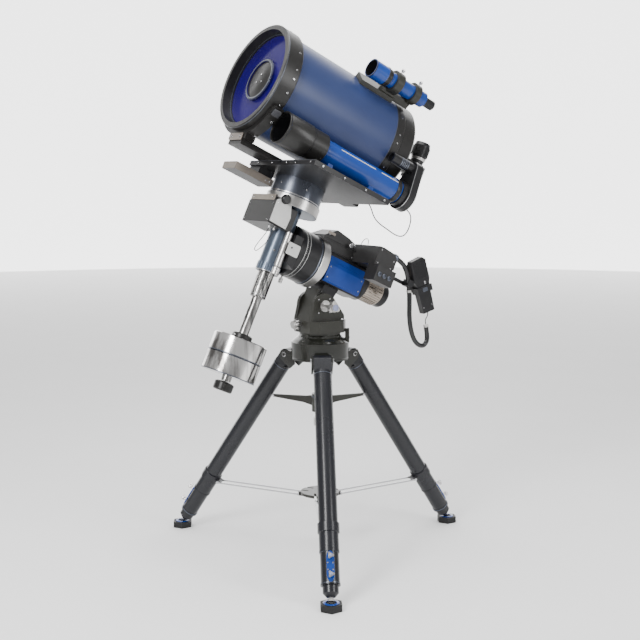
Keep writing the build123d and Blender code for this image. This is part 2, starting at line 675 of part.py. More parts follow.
# ---------------------------------------------------------------- guide scope and its camera
guide_axis = head_axis(0, GUIDE_Y, GUIDE_Z, "x")
with BuildPart() as guide_scope:
    add(turned(guide_axis, [
        (0, -110), (52, -110), (52, -160), (56, -160), (56, -268), (60, -268), (60, -156), (57, -152),
        (57, -88), (54, -85), (44.7, -85), (44.7, 288), (0, 288), (0, 280), (40, 280), (40, -80), (0, -80),
    ]))
    for ring_x in (-48, 150):
        with BuildSketch(head_axis(ring_x, 0, 0, "x")):
            with Locations((GUIDE_Y, GUIDE_Z)):
                Circle(45)
            with Locations((GUIDE_Y, (SADDLE_TOP + GUIDE_Z - 30) / 2)):
                Rectangle(52, GUIDE_Z - 30 - SADDLE_TOP)
            with Locations((GUIDE_Y, GUIDE_Z)):
                Circle(42, mode=Mode.SUBTRACT)
        extrude(amount=22)
save(guide_scope, "guide_scope")

LENS_Y, LENS_Z = -210.0, 452.0
with BuildPart(HEAD) as guide_camera:
    with BuildSketch(head_axis(312, 0, 0, "x")):
        with Locations((GUIDE_Y, GUIDE_Z)):
            Circle(58)
        with Locations((LENS_Y, LENS_Z)):
            Circle(30)
        make_hull()
    extrude(amount=33)
    with BuildSketch(head_axis(288 + GAP, GUIDE_Y, GUIDE_Z, "x")):
        Circle(50)
    extrude(amount=24)
    with BuildSketch(head_axis(205, LENS_Y, LENS_Z, "x")):
        Circle(20)
    extrude(amount=110)
    with BuildSketch(head_axis(204, LENS_Y, LENS_Z, "x")):
        Circle(16)
    extrude(amount=16, mode=Mode.SUBTRACT)
save(guide_camera, "guide_camera")

# (x, z) in the head frame, in an upright plane beside the guide scope
CABLE_Y = -205.0
CABLE_ROUTE = [
    (176, 256), (193, 250), (208, 237), (223, 222), (244, 210), (273, 203.5), (307, 200.5), (340, 196),
    (370, 198), (389, 211), (397, 235), (396, 263), (389, 287), (371, 302), (345.6, 306),
]
guide_cable = cord_tube([head(x, CABLE_Y, z) for x, z in CABLE_ROUTE], CABLE_DIAMETER)
save(guide_cable, "guide_cable")


# ---------------------------------------------------------------- finder
finder_angle = radians(FINDER_ANGLE)
out_dir = HEAD.z_dir * cos(finder_angle) - HEAD.y_dir * sin(finder_angle)
FINDER_FRAME = Plane(origin=head(0, 0, OTA_Z), x_dir=HEAD.x_dir, z_dir=out_dir)
finder_axis = Plane(
    origin=FINDER_FRAME.from_local_coords(Vector(0, 0, FINDER_DISTANCE)),
    x_dir=FINDER_FRAME.y_dir,
    z_dir=HEAD.x_dir,
)
finder = turned(finder_axis, [
    (0, 281), (26, 281), (30, 277), (30, 98), (34, 96), (34, 79), (36, 77), (36, 12), (33, 12), (33, 60),
    (0, 60),
])
save(finder, "finder")
finder_eyepiece = fluted(finder_axis, [
    (0, 281 + GAP), (16, 281 + GAP), (19, 285), (19, 328), (16, 331), (12, 331), (9, 327), (0, 327),
], 19.0, 290.0, 320.0, 20)
save(finder_eyepiece, "finder_eyepiece")

with BuildPart(FINDER_FRAME) as finder_mount:
    with Locations((85, 10, 200)):
        Box(160, 60, 24)
    with Locations((170, 0, 215)):
        Box(140, 26, 30)
    with BuildSketch(ota_axis):
        Circle(TUBE_RADIUS + GAP)
    extrude(amount=400, mode=Mode.SUBTRACT)
    for ring_x, length, outer in ((118, 32, 43), (213, 27, 41)):
        with BuildSketch(finder_axis.offset(ring_x)):
            Circle(outer)
        extrude(amount=length)
    with BuildSketch(finder_axis.offset(90)):
        Circle(30 + GAP)
    extrude(amount=180, mode=Mode.SUBTRACT)
save(finder_mount, "finder_mount")
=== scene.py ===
"""Looks of a large compound reflector telescope on an equatorial mount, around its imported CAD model."""

from math import atan2, cos, pi, radians, sin

import bpy
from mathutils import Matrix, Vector


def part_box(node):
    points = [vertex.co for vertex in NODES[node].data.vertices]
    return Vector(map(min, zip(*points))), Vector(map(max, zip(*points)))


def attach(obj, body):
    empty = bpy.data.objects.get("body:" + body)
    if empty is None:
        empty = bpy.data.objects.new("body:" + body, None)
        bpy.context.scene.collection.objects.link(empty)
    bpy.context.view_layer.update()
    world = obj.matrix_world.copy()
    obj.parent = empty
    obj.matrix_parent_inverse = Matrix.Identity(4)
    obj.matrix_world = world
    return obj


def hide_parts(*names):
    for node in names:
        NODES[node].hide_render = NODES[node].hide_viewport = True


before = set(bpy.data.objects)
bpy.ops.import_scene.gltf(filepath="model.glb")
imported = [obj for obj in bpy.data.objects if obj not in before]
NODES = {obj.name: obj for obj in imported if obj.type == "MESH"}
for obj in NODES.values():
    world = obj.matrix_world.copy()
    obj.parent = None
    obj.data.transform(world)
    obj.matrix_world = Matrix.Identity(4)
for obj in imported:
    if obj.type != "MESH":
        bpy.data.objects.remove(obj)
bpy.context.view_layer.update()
MM = 0.001

# ---------------------------------------------------------------- places, from the CAD
knob_low, knob_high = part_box("tension_knob")
TRIPOD_X = (knob_low[0] + knob_high[0]) / 2
TRIPOD_Y = (knob_low[1] + knob_high[1]) / 2
LATITUDE = radians(24.5)
LEG_SPREAD = radians(34.2)
PIVOT_RADIUS, PIVOT_HEIGHT = 137.0, 775.0
OTA_Z = 520.5
GUIDE_Y, GUIDE_Z = -193.5, 347.0
FINDER_ANGLE, FINDER_DISTANCE = radians(39.0), 262.0
HANDSET_Y, HANDSET_TILT = -180.0, radians(16.4)
HX = Vector((cos(LATITUDE), 0, -sin(LATITUDE)))
HY = Vector((0, 1, 0))
HZ = Vector((sin(LATITUDE), 0, cos(LATITUDE)))
UP = Vector((0, 0, 1))


def place(x, y, z):
    """A point in millimetres from the tripod axis at floor level, in metres in the row frame."""
    return Vector((TRIPOD_X + x * MM, TRIPOD_Y + y * MM, z * MM))


HEAD_ORIGIN = place(-192.3, 0, 1211)


def head(x, y, z):
    """A point in millimetres in the head frame, whose x runs along the polar axis."""
    return HEAD_ORIGIN + (HX * x + HY * y + HZ * z) * MM


class Seat:
    """A point and three directions: things are built standing on it along its z."""

    def __init__(self, origin, z_dir, x_dir):
        self.origin = origin
        self.z = z_dir.normalized()
        self.x = (x_dir - self.z * x_dir.dot(self.z)).normalized()
        self.y = self.z.cross(self.x)

    def at(self, x, y, z):
        return self.origin + (self.x * x + self.y * y + self.z * z) * MM


# ---------------------------------------------------------------- materials
def surface(name, color, roughness=0.4, metallic=0.0, variation=0.12, scale=60.0, grain=900.0, bump=0.04,
            stretch=(1.0, 1.0, 1.0), rough_spread=0.06, specular=0.5):
    """Colour that drifts a little, roughness that varies and a fine bump, all in object space."""
    material = bpy.data.materials.new(name)
    material.use_nodes = True
    nodes, links = material.node_tree.nodes, material.node_tree.links
    shader = nodes["Principled BSDF"]
    shader.inputs["Metallic"].default_value = metallic
    shader.inputs["Specular IOR Level"].default_value = specular
    place_node = nodes.new("ShaderNodeTexCoord")
    mapping = nodes.new("ShaderNodeMapping")
    mapping.inputs["Scale"].default_value = stretch
    links.new(place_node.outputs["Object"], mapping.inputs["Vector"])
    drift = nodes.new("ShaderNodeTexNoise")
    drift.inputs["Scale"].default_value = scale
    drift.inputs["Detail"].default_value = 4.0
    links.new(mapping.outputs["Vector"], drift.inputs["Vector"])
    ramp = nodes.new("ShaderNodeValToRGB")
    dark = [c * (1 - variation) for c in color]
    light = [min(1.0, c * (1 + variation)) for c in color]
    ramp.color_ramp.elements[0].position = 0.3
    ramp.color_ramp.elements[1].position = 0.7
    ramp.color_ramp.elements[0].color = (*dark, 1)
    ramp.color_ramp.elements[1].color = (*light, 1)
    links.new(drift.outputs["Fac"], ramp.inputs["Fac"])
    links.new(ramp.outputs["Color"], shader.inputs["Base Color"])
    fine = nodes.new("ShaderNodeTexNoise")
    fine.inputs["Scale"].default_value = grain
    fine.inputs["Detail"].default_value = 3.0
    links.new(mapping.outputs["Vector"], fine.inputs["Vector"])
    spread = nodes.new("ShaderNodeMapRange")
    spread.inputs["To Min"].default_value = max(0.02, roughness - rough_spread)
    spread.inputs["To Max"].default_value = min(1.0, roughness + rough_spread)
    links.new(drift.outputs["Fac"], spread.inputs["Value"])
    links.new(spread.outputs["Result"], shader.inputs["Roughness"])
    height = nodes.new("ShaderNodeBump")
    height.inputs["Strength"].default_value = bump
    height.inputs["Distance"].default_value = 0.0004
    links.new(fine.outputs["Fac"], height.inputs["Height"])
    links.new(height.outputs["Normal"], shader.inputs["Normal"])
    return material


def brushed(name, color, roughness, stretch, metallic=1.0):
    """Machined or brushed metal: its grain is drawn out along one direction."""
    return surface(name, color, roughness, metallic, variation=0.08, scale=60.0, grain=700.0, bump=0.05,
                   stretch=stretch, rough_spread=0.06)


def painted_reflection_streaks(name, dark, light, roughness, scale):
    """Polished metal with painted reflection streaks: dark and light bands of base colour that run along the
    declination axis.
    """
    material = surface(name, light, roughness, 1.0, variation=0.0, scale=scale, grain=700.0, bump=0.02,
                       rough_spread=0.03)
    nodes, links = material.node_tree.nodes, material.node_tree.links
    mapping = next(node for node in nodes if node.type == "MAPPING")
    mapping.vector_type = "POINT"
    mapping.inputs["Rotation"].default_value = (0, -LATITUDE, 0)
    mapping.inputs["Scale"].default_value = (1.0, 1.0, 0.004)
    # The ramp turns the stretched noise into dark and light bands: these are painted reflection streaks, not
    # grinding marks.
    ramp = next(node for node in nodes if node.type == "VALTORGB")
    ramp.color_ramp.elements[0].position = 0.40
    ramp.color_ramp.elements[1].position = 0.60
    ramp.color_ramp.elements[0].color = (*dark, 1)
    ramp.color_ramp.elements[1].color = (*light, 1)
    return material


TUBE_NAVY = surface("tube_navy", (0.022, 0.036, 0.105), 0.34, variation=0.05, scale=8.0, grain=1500.0,
                    bump=0.03, rough_spread=0.02, specular=0.35)
CELL_BLACK = surface("cell_black", (0.012, 0.0115, 0.011), 0.34, variation=0.10, grain=1600.0, bump=0.08,
                     rough_spread=0.03, specular=0.35)
CAST_BLACK = surface("cast_black", (0.011, 0.011, 0.012), 0.34, variation=0.10, grain=1200.0, bump=0.08,
                     rough_spread=0.03, specular=0.30)
BASE_BLACK = surface("base_black", (0.012, 0.0125, 0.010), 0.17, variation=0.08, scale=30.0, grain=1100.0,
                     bump=0.03, rough_spread=0.02, specular=0.6)
OLIVE_BLACK = surface("olive_black", (0.020, 0.020, 0.016), 0.34, variation=0.10, grain=1300.0, bump=0.08,
                      rough_spread=0.03, specular=0.35)
LEG_BLACK = surface("leg_black", (0.0085, 0.009, 0.012), 0.27, variation=0.08, scale=10.0, grain=1500.0,
                    bump=0.03, rough_spread=0.02, specular=0.40)
MOTOR_GREY = surface("motor_grey", (0.019, 0.0185, 0.0185), 0.36, variation=0.10, grain=1400.0, bump=0.10,
                     rough_spread=0.03, specular=0.35)
SLATE = surface("slate", (0.045, 0.046, 0.052), 0.36, variation=0.10, grain=1400.0, bump=0.10, specular=0.35)
STEEL_BLUE = surface("steel_blue", (0.10, 0.125, 0.165), 0.30, metallic=0.7, variation=0.05, scale=12.0,
                     grain=1200.0, rough_spread=0.03)
GUNMETAL = surface("gunmetal", (0.095, 0.105, 0.13), 0.28, metallic=0.8, variation=0.05, scale=12.0,
                   grain=1000.0, rough_spread=0.03)
ALUMINIUM = brushed("aluminium_turned", (0.52, 0.51, 0.50), 0.30, (1.0, 1.0, 1.0))
NICKEL = brushed("nickel", (0.30, 0.26, 0.22), 0.20, (1.0, 1.0, 1.0))
# The chrome weights and the steel shaft carry painted reflection streaks in their base colour.
CHROME = painted_reflection_streaks("chrome", (0.17, 0.16, 0.155), (0.78, 0.77, 0.76), 0.16, 26.0)
STEEL = painted_reflection_streaks("steel_rod", (0.12, 0.12, 0.12), (0.42, 0.41, 0.40), 0.22, 90.0)
RAIL_STEEL = brushed("steel_tie", (0.42, 0.42, 0.43), 0.26, (1.0, 1.0, 1.0))
BOLT_STEEL = brushed("bolt_steel", (0.48, 0.48, 0.49), 0.24, (1.0, 1.0, 1.0))
BLUE_GLOSS = surface("blue_gloss", (0.0065, 0.042, 0.235), 0.20, variation=0.05, scale=12.0, grain=900.0,
                     bump=0.01, rough_spread=0.02, specular=0.45)
COVER_BLUE = surface("cover_blue", (0.006, 0.036, 0.22), 0.32, variation=0.06, scale=40.0, grain=1300.0,
                     bump=0.08, rough_spread=0.03, specular=0.35)
# White paint for the plates and scale marks, also used for the painted highlight strips on the guide scope
# and finder.
WHITE_PAINT_AND_HIGHLIGHT = surface("white_paint_and_highlight", (0.52, 0.52, 0.51), 0.36, variation=0.04, grain=900.0)
TAUPE = surface("taupe_metal", (0.20, 0.175, 0.15), 0.36, metallic=0.5, variation=0.06, grain=1100.0)
BEIGE = surface("beige_metal", (0.24, 0.21, 0.175), 0.38, metallic=0.3, variation=0.06, grain=1100.0)
PLASTIC = surface("plastic_black", (0.0085, 0.0085, 0.0095), 0.32, variation=0.10, grain=2200.0, bump=0.12,
                  rough_spread=0.03, specular=0.35)
GLOSS_PLASTIC = surface("plastic_gloss", (0.008, 0.008, 0.009), 0.14, variation=0.08, grain=900.0,
                        rough_spread=0.02)
RUBBER = surface("rubber_black", (0.012, 0.012, 0.0125), 0.60, variation=0.16, grain=1800.0, bump=0.20,
                 specular=0.30)
CORD_BLACK = surface("cord_black", (0.006, 0.006, 0.007), 0.24, variation=0.10, grain=1000.0,
        rough_spread=0.03)
LAVENDER = surface("lavender_cap", (0.21, 0.23, 0.36), 0.34, variation=0.06, grain=1300.0)
DARK_HOLE = surface("dark_recess", (0.004, 0.004, 0.005), 0.6, variation=0.2, specular=0.2)
MIRROR = surface("mirror_silver", (0.80, 0.82, 0.86), 0.05, metallic=1.0, variation=0.02, bump=0.0,
                 rough_spread=0.02)
GLASS = surface("corrector_glass", (0.0085, 0.0025, 0.085), 0.12, variation=0.30, scale=3.0, grain=300.0,
                bump=0.002, rough_spread=0.03, specular=0.22)
LENS = surface("coated_lens", (0.008, 0.010, 0.022), 0.06, variation=0.15, scale=12.0, bump=0.0,
               rough_spread=0.02, specular=0.5)


def paint(material, *names):
    """Give CAD nodes a finished material."""
    for name in names:
        for material_slot in NODES[name].material_slots:
            material_slot.material = material


LEGS = (1, 2, 3)
LEG_ANGLES = {1: 0.0, 2: 2 * pi / 3, 3: 4 * pi / 3}
paint(TUBE_NAVY, "main_tube")
paint(CELL_BLACK, "front_ring", "rear_cell", "dovetail_rail")
paint(GLASS, "corrector")
paint(MIRROR, "primary_mirror")
paint(BASE_BLACK, "tripod_crown")
paint(OLIVE_BLACK, "azimuth_fork", "leg_spreader", "tie_disc")
paint(CAST_BLACK, "saddle_plate", "tee_block", "setting_drum", "handset_bracket", "polar_housing")
paint(PLASTIC, "guide_camera", "eyepiece", "finder_eyepiece", "handset", "clutch_knob")
paint(MOTOR_GREY, "ra_motor_box", "control_box", "dec_motor_box")
paint(STEEL_BLUE, "dec_housing")
paint(GUNMETAL, "dec_head")
paint(CELL_BLACK, "weight_lock_collar", "shaft_end_knob")
paint(CHROME, "weight_upper", "weight_lower")
paint(STEEL, "counterweight_shaft")
paint(ALUMINIUM, "azimuth_knob", "altitude_knob", "dec_clamp", "ra_clamp_screw", "focus_knob",
        "tension_knob")
paint(BLUE_GLOSS, "guide_scope", "finder")
paint(COVER_BLUE, "housing_cover")
paint(OLIVE_BLACK, "finder_mount")
for leg in LEGS:
    paint(LEG_BLACK, f"leg_{leg}_tube", f"leg_{leg}_inner")
    paint(RUBBER, f"leg_{leg}_foot")
    paint(ALUMINIUM, f"leg_{leg}_knob_upper", f"leg_{leg}_knob_lower")
    paint(RAIL_STEEL, f"leg_{leg}_tie_rods")


# ---------------------------------------------------------------- mesh makers
def finish_piece(name, mesh, material, body, smooth_angle=35.0, bevel=0.0):
    mesh.validate()
    piece = bpy.data.objects.new(name, mesh)
    bpy.context.scene.collection.objects.link(piece)
    mesh.materials.append(material)
    mesh.polygons.foreach_set("use_smooth", [True] * len(mesh.polygons))
    mesh.set_sharp_from_angle(angle=radians(smooth_angle))
    if bevel:
        rounding = piece.modifiers.new("edge_round", "BEVEL")
        rounding.width = bevel * MM
        rounding.segments = 2
        rounding.limit_method = "ANGLE"
    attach(piece, body)
    return piece


def grid_faces(rows, columns, closed):
    """Quads between rows of points; each row wraps round when it is closed."""
    faces = []
    for row in range(rows - 1):
        for column in range(columns if closed else columns - 1):
            after = (column + 1) % columns
            faces.append((row * columns + column, row * columns + after,
                          (row + 1) * columns + after, (row + 1) * columns + column))
    return faces


def lathe(name, seat, profile, material, body, segments=64, smooth_angle=35.0):
    """A profile of (radius, height) in millimetres, turned about z. Ends on the axis are capped."""
    points, faces = [], []
    for radius, height in profile:
        for step in range(segments):
            angle = 2 * pi * step / segments
            points.append(seat.at(radius * cos(angle), radius * sin(angle), height))
    faces = grid_faces(len(profile), segments, True)
    if profile[0] != profile[-1]:
        faces.append(tuple(range(segments))[::-1])
        last = (len(profile) - 1) * segments
        faces.append(tuple(range(last, last + segments)))
    mesh = bpy.data.meshes.new(name)
    mesh.from_pydata(points, [], faces)
    return finish_piece(name, mesh, material, body, smooth_angle)


def prism(name, seat, outline, low, high, material, body, bevel=0.6, smooth_angle=30.0):
    """An outline of (x, y) in millimetres on the seat, from height low to high, with rounded edges."""
    count = len(outline)
    points = [seat.at(x, y, low) for x, y in outline] + [seat.at(x, y, high) for x, y in outline]
    faces = grid_faces(2, count, True)
    faces.append(tuple(range(count))[::-1])
    faces.append(tuple(range(count, 2 * count)))
    mesh = bpy.data.meshes.new(name)
    mesh.from_pydata(points, [], faces)
    return finish_piece(name, mesh, material, body, smooth_angle, bevel)


def shell(name, seat, radius, thickness, low, high, start, end, material, body, steps=24):
    """A thin curved strip standing on a round surface, between two angles in degrees."""
    points = []
    for level, offset in ((low, 0), (low, thickness), (high, thickness), (high, 0)):
        for step in range(steps + 1):
            angle = radians(start + (end - start) * step / steps)
            reach = radius + offset
            points.append(seat.at(reach * cos(angle), reach * sin(angle), level))
    columns = steps + 1
    faces = grid_faces(4, columns, False)
    faces += [(3 * columns + c, 3 * columns + c + 1, c + 1, c) for c in range(steps)]
    faces += [(0, columns, 2 * columns, 3 * columns), tuple(k * columns + steps for k in (3, 2, 1, 0))]
    mesh = bpy.data.meshes.new(name)
    mesh.from_pydata(points, [], faces)
    return finish_piece(name, mesh, material, body)


def cap_screw(name, seat, radius, height, material, body):
    """A socket head cap screw: round head with a hexagonal recess."""
    segments, rows = 36, []
    hexagon = radius * 0.55

    def hex_radius(angle):
        turn = (angle + pi / 6) % (pi / 3) - pi / 6
        return hexagon * cos(pi / 6) / cos(turn)

    profile = [(radius, -0.5), (radius, height * 0.8), (radius * 0.86, height)]
    points = []
    for reach, level in profile:
        rows.append(level)
        for step in range(segments):
            angle = 2 * pi * step / segments
            points.append(seat.at(reach * cos(angle), reach * sin(angle), level))
    for level in (height, height * 0.35):
        rows.append(level)
        for step in range(segments):
            angle = 2 * pi * step / segments
            reach = hex_radius(angle)
            points.append(seat.at(reach * cos(angle), reach * sin(angle), level))
    faces = grid_faces(len(rows), segments, True)
    faces.append(tuple(range(segments))[::-1])
    last = (len(rows) - 1) * segments
    faces.append(tuple(range(last, last + segments)))
    mesh = bpy.data.meshes.new(name)
    mesh.from_pydata(points, [], faces)
    return finish_piece(name, mesh, material, body)


def rounded(width, height, radius, steps=6):
    """The outline of a rectangle with round corners."""
    outline = []
    for corner_x, corner_y, start in ((1, 1, 0), (-1, 1, 90), (-1, -1, 180), (1, -1, 270)):
        for step in range(steps + 1):
            angle = radians(start + 90 * step / steps)
            outline.append((corner_x * (width / 2 - radius) + radius * cos(angle),
                            corner_y * (height / 2 - radius) + radius * sin(angle)))
    return outline


def circle(radius, steps=40):
    return [(radius * cos(2 * pi * step / steps),
            radius * sin(2 * pi * step / steps)) for step in range(steps)]


def cable(name, points, diameter, material, body):
    """A smooth round cord through its route's control points."""
    curve = bpy.data.curves.new(name, "CURVE")
    curve.dimensions = "3D"
    spline = curve.splines.new("NURBS")
    spline.points.add(len(points) - 1)
    for knot, point in zip(spline.points, points):
        knot.co = (*point, 1.0)
    spline.order_u = 3
    spline.use_endpoint_u = True
    spline.resolution_u = 12
    curve.bevel_depth = diameter * MM / 2
    curve.bevel_resolution = 6
    curve.use_fill_caps = True
    curve.materials.append(material)
    piece = bpy.data.objects.new(name, curve)
    bpy.context.scene.collection.objects.link(piece)
    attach(piece, body)
    return piece


# ---------------------------------------------------------------- camera
EYE_BACK, EYE_SIDE, EYE_HEIGHT = 2402.3, 3646.0, 1467.2
LENS_LENGTH, SENSOR_WIDTH = 63.95, 36.0
LOOK_DOWN = 7.23
EYE = place(-EYE_BACK, -EYE_SIDE, EYE_HEIGHT)
camera_data = bpy.data.cameras.new("camera")
camera_data.lens = LENS_LENGTH
camera_data.sensor_width = SENSOR_WIDTH
camera = bpy.data.objects.new("camera", camera_data)
camera.location = EYE
camera.rotation_euler = (radians(90 - LOOK_DOWN), 0, -atan2(EYE_BACK, EYE_SIDE))
bpy.context.scene.collection.objects.link(camera)
bpy.context.scene.camera = camera

# ---------------------------------------------------------------- cords
SLEEVE_ROUTE = [
    (226, 1157), (262, 1135), (281, 1104), (289, 1072), (293.5, 1040), (296, 1008), (296.5, 970), (296, 932),
    (300, 894), (309, 858), (323, 828), (344, 809), (368, 804), (385, 821), (385.5, 850), (378, 888),
]
THIN_ROUTE = [(377.5, 891), (375, 903), (380, 914), (388, 924), (387, 938.5)]
CABLE_ROUTE = [
    (176, 256), (193, 250), (208, 237), (223, 222), (244, 210), (273, 203.5), (307, 200.5), (340, 196),
    (370, 198), (389, 211), (397, 235), (396, 263), (389, 287), (371, 302), (345.6, 306),
]
LEAD_ROUTE = [
    (-76, 47), (-77, 25), (-85, 2), (-94, -22), (-101, -45), (-102, -58), (-93, -62), (-82, -48), (-70, -28),
    (-61, -4), (-56, 22), (-54, 47),
]
ARCH_ROUTE = [
    (314.6, -60, 136), (314.2, -64, 148), (312.8, -74, 157), (311, -88, 160), (309, -102, 157),
    (307.8, -112, 148), (307.5, -115.5, 136),
]

sleeve_points = [place(x, HANDSET_Y, z) for x, z in SLEEVE_ROUTE]
sleeve = cable("handset_sleeve_cord", sleeve_points, 19.0, CORD_BLACK, "polar")
thin_points = [place(x, HANDSET_Y, z) for x, z in THIN_ROUTE]
thin_cord = cable("handset_thin_cord", thin_points, 4.0, CORD_BLACK, "polar")
cable_points = [head(x, -205, z) for x, z in CABLE_ROUTE]
guide_cable = cable("guide_camera_cable", cable_points, 4.5, CORD_BLACK, "ota")
lead_points = [head(x, -30, z) for x, z in LEAD_ROUTE]
motor_lead = cable("dec_motor_lead", lead_points, 3.0, CORD_BLACK, "ra")
arch_points = [head(*point) for point in ARCH_ROUTE]
arch_lead = cable("control_box_lead", arch_points, 3.0, CORD_BLACK, "polar")


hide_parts("handset_cord")
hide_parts("guide_cable")
sleeve_end = Seat(sleeve_points[-1], sleeve_points[-1] - sleeve_points[-2], HY)
sleeve_collar = lathe("sleeve_end_cap", sleeve_end, [(9.7, -9), (10.2, -8), (10.2, 0), (8.8, 2.0),
        (3.0, 2.6)],
                      ALUMINIUM, "polar", 40)
ferrule_seat = Seat((sleeve_points[4] + sleeve_points[5]) / 2, sleeve_points[5] - sleeve_points[4], HY)
sleeve_ferrule = lathe("sleeve_ferrule", ferrule_seat, [(9.6, -5), (10.6, -4.4), (10.6, 4.4), (9.6, 5)],
                       ALUMINIUM, "polar", 40)

# ---------------------------------------------------------------- optical tube details
def ota_rim(angle, radius, x):
    """A seat on a round of the tube, its z pointing outwards; the angle runs from the top towards -Y."""
    turn = radians(angle)
    out = HZ * cos(turn) - HY * sin(turn)
    return Seat(head(x, 0, OTA_Z) + out * radius * MM, out, HX)


OTA = Seat(head(0, 0, OTA_Z), HX, HZ)
for index, angle in enumerate((-150, -105, -60, -15, 15, 61, 81, 91, 106, 120)):
    cap_screw(f"front_ring_screw_{index}", ota_rim(angle, 205, -293), 3.4, 2.4, BOLT_STEEL, "ota")
for index, angle in enumerate((-150, -100, -55, -15, 25, 60, 82, 92, 122, 150)):
    cap_screw(f"rear_cell_screw_{index}", ota_rim(angle, 194, 219), 3.2, 2.2, BOLT_STEEL, "ota")
lathe("corrector_retaining_ring", OTA, [
    (179.2, -313.0), (184.8, -313.4), (185.8, -312.6), (185.8, -306.5), (179.2, -306.5), (179.2, -313.0),
], GUNMETAL, "ota", 128)
lathe("secondary_trim_ring", OTA, [
    (72.4, -318.6), (76, -319.4), (80, -319.0), (82.3, -317.2), (82.3, -314), (72.4, -314), (72.4, -318.6),
], GUNMETAL, "ota", 96)
lathe("secondary_cover_disc", OTA, [
    (0.5, -314.8), (40, -314.9), (41.5, -314.3), (69, -314.4), (71.6, -313.6), (71.6, -313.0), (0.5, -313.0),
], CELL_BLACK, "ota", 96)
for index in range(3):
    turn = 2 * pi * index / 3
    spot = head(-314.6, 0, OTA_Z) + (HZ * cos(turn) + HY * sin(turn)) * 20 * MM
    cap_screw(f"collimation_screw_{index}", Seat(spot, -HX, HZ), 3.4, 2.6, BOLT_STEEL, "ota")
lathe("front_ring_groove_line", OTA, [
    (205.15, -341.5), (205.5, -340.6), (205.5, -339.4), (205.15, -338.5), (204.0, -338.5), (204.0, -341.5),
    (205.15, -341.5),
], GUNMETAL, "ota", 128)
for index, (edge, low, high) in enumerate(((193.05, -272.5, -270.5), (193.05, 198, 200))):
    lathe(f"tube_end_trim_{index}", OTA, [
        (edge, low), (edge + 0.7, low + 0.4), (edge + 0.7, high - 0.4), (edge, high), (edge - 1, high),
        (edge - 1, low), (edge, low),
    ], SLATE, "ota", 128)
BACK = Seat(head(308, 0, OTA_Z), HX, HZ)
lathe("visual_back_ring", BACK, [
    (36.2, 0.1), (47, 0.1), (48, 1.2), (48, 9.5), (46.8, 10.8), (36.2, 10.8), (36.2, 0.1),
], ALUMINIUM, "ota", 80)
for index in range(3):
    turn = 2 * pi * (index + 0.25) / 3
    spot = head(308.1, 0, OTA_Z) + (HZ * cos(turn) + HY * sin(turn)) * 140 * MM
    lathe(f"rear_lock_knob_{index}", Seat(spot, HX, HZ), [
        (7, 0), (7, 4), (9.5, 5), (10, 6), (10, 12), (9, 13.2),
    ], BOLT_STEEL, "ota", 40)
diagonal_knob = Seat(head(488, -29, 520), -HY, HX)
lathe("diagonal_lock_screw", diagonal_knob, [(2.2, 0), (2.2, 4), (5, 4.4), (5.6, 5.2), (5.6, 10.4),
        (4.8, 11.2)],
      BOLT_STEEL, "ota", 36)
EYE_SEAT = Seat(head(470, 0, 0), HZ, HX)
lathe("eyepiece_eye_lens", EYE_SEAT, [(15.6, 630.2), (12.5, 631.6), (7, 632.7), (0.5, 633.0)], LENS,
        "ocular",
      48)
for index in range(9):
    level = 583 + 4.2 * index
    lathe(f"eyepiece_grip_ring_{index}", EYE_SEAT, [
        (33.2, level), (35.2, level + 0.5), (35.2, level + 2.2), (33.2, level + 2.7), (32, level + 1.3),
        (33.2, level),
    ], RUBBER, "ocular", 64)
lathe("eyepiece_barrel_band", EYE_SEAT, [
    (27.4, 562), (29.8, 565), (30.4, 569), (31.0, 572), (29.0, 572), (27.0, 562.4), (27.4, 562),
], ALUMINIUM, "ocular", 64)

# ---------------------------------------------------------------- guide scope
GUIDE = Seat(head(0, GUIDE_Y, GUIDE_Z), HX, HZ)
# Painted highlights: thin white strips laid along the upper front of the glossy guide tube, where its
# highlight line falls.
for index, (low, high) in enumerate(((-22, 146), (176, 284))):
    shell(f"guide_painted_highlight_{index}", GUIDE, 44.72, 0.25, low, high, 50, 56, WHITE_PAINT_AND_HIGHLIGHT, "ota")
lathe("guide_objective", GUIDE, [(51.6, -111.0), (38, -115.6), (20, -118.4), (0.5, -119.3)], LENS, "ota",
      72)
lathe("guide_shield_sleeve", GUIDE, [
    (60.08, -260.8), (60.35, -260.4), (60.35, -155.8), (57.35, -151.8), (57.35, -87.8), (54.2, -84.6),
    (45.0, -84.6), (45.0, -84.0), (43.7, -84.0), (43.7, -86.0), (53.0, -86.0), (56.5, -88.5), (56.5, -152.5),
    (59.5, -156.4), (59.5, -260.8), (60.08, -260.8),
], CELL_BLACK, "ota", 112)
lathe("guide_shield_lining", GUIDE, [
    (55.95, -261.2), (55.95, -160.3), (51.95, -160.1), (51.95, -112), (51.7, -112), (51.7, -160.4),
    (55.7, -160.6), (55.7, -261.2), (55.95, -261.2),
], DARK_HOLE, "ota", 96)
lathe("guide_shield_lip", GUIDE, [
    (55.4, -268.2), (57, -269.4), (59.4, -269.4), (60.5, -268), (60.5, -262), (60.05, -261), (55.4, -261),
    (55.4, -268.2),
], CELL_BLACK, "ota", 96)
lathe("guide_focus_ring", GUIDE, [
    (44.75, 262), (47.0, 262.6), (47.5, 264), (47.5, 280), (47.0, 281.4), (44.75, 282), (42.7, 272),
    (44.75, 262),
], CELL_BLACK, "ota", 72)


def hull(points):
    """The convex outline round some points, anticlockwise."""
    ordered = sorted(points)

    def half(run):
        chain = []
        for p in run:
            while len(chain) > 1 and ((chain[-1][0] - chain[-2][0]) * (p[1] - chain[-2][1])
                                      - (chain[-1][1] - chain[-2][1]) * (p[0] - chain[-2][0])) <= 0:
                chain.pop()
            chain.append(p)
        return chain[:-1]

    return half(ordered) + half(ordered[::-1])


def teardrop(grow):
    """The camera plate's outline, as (z, y) offsets from the guide scope's axis."""
    big = [(x, y) for x, y in circle(58 + grow, 64)]
    small = [(x + 105, y - 16.5) for x, y in circle(30 + grow, 48)]
    return hull(big + small)


PLATE = Seat(head(345, GUIDE_Y, GUIDE_Z), HX, HZ)


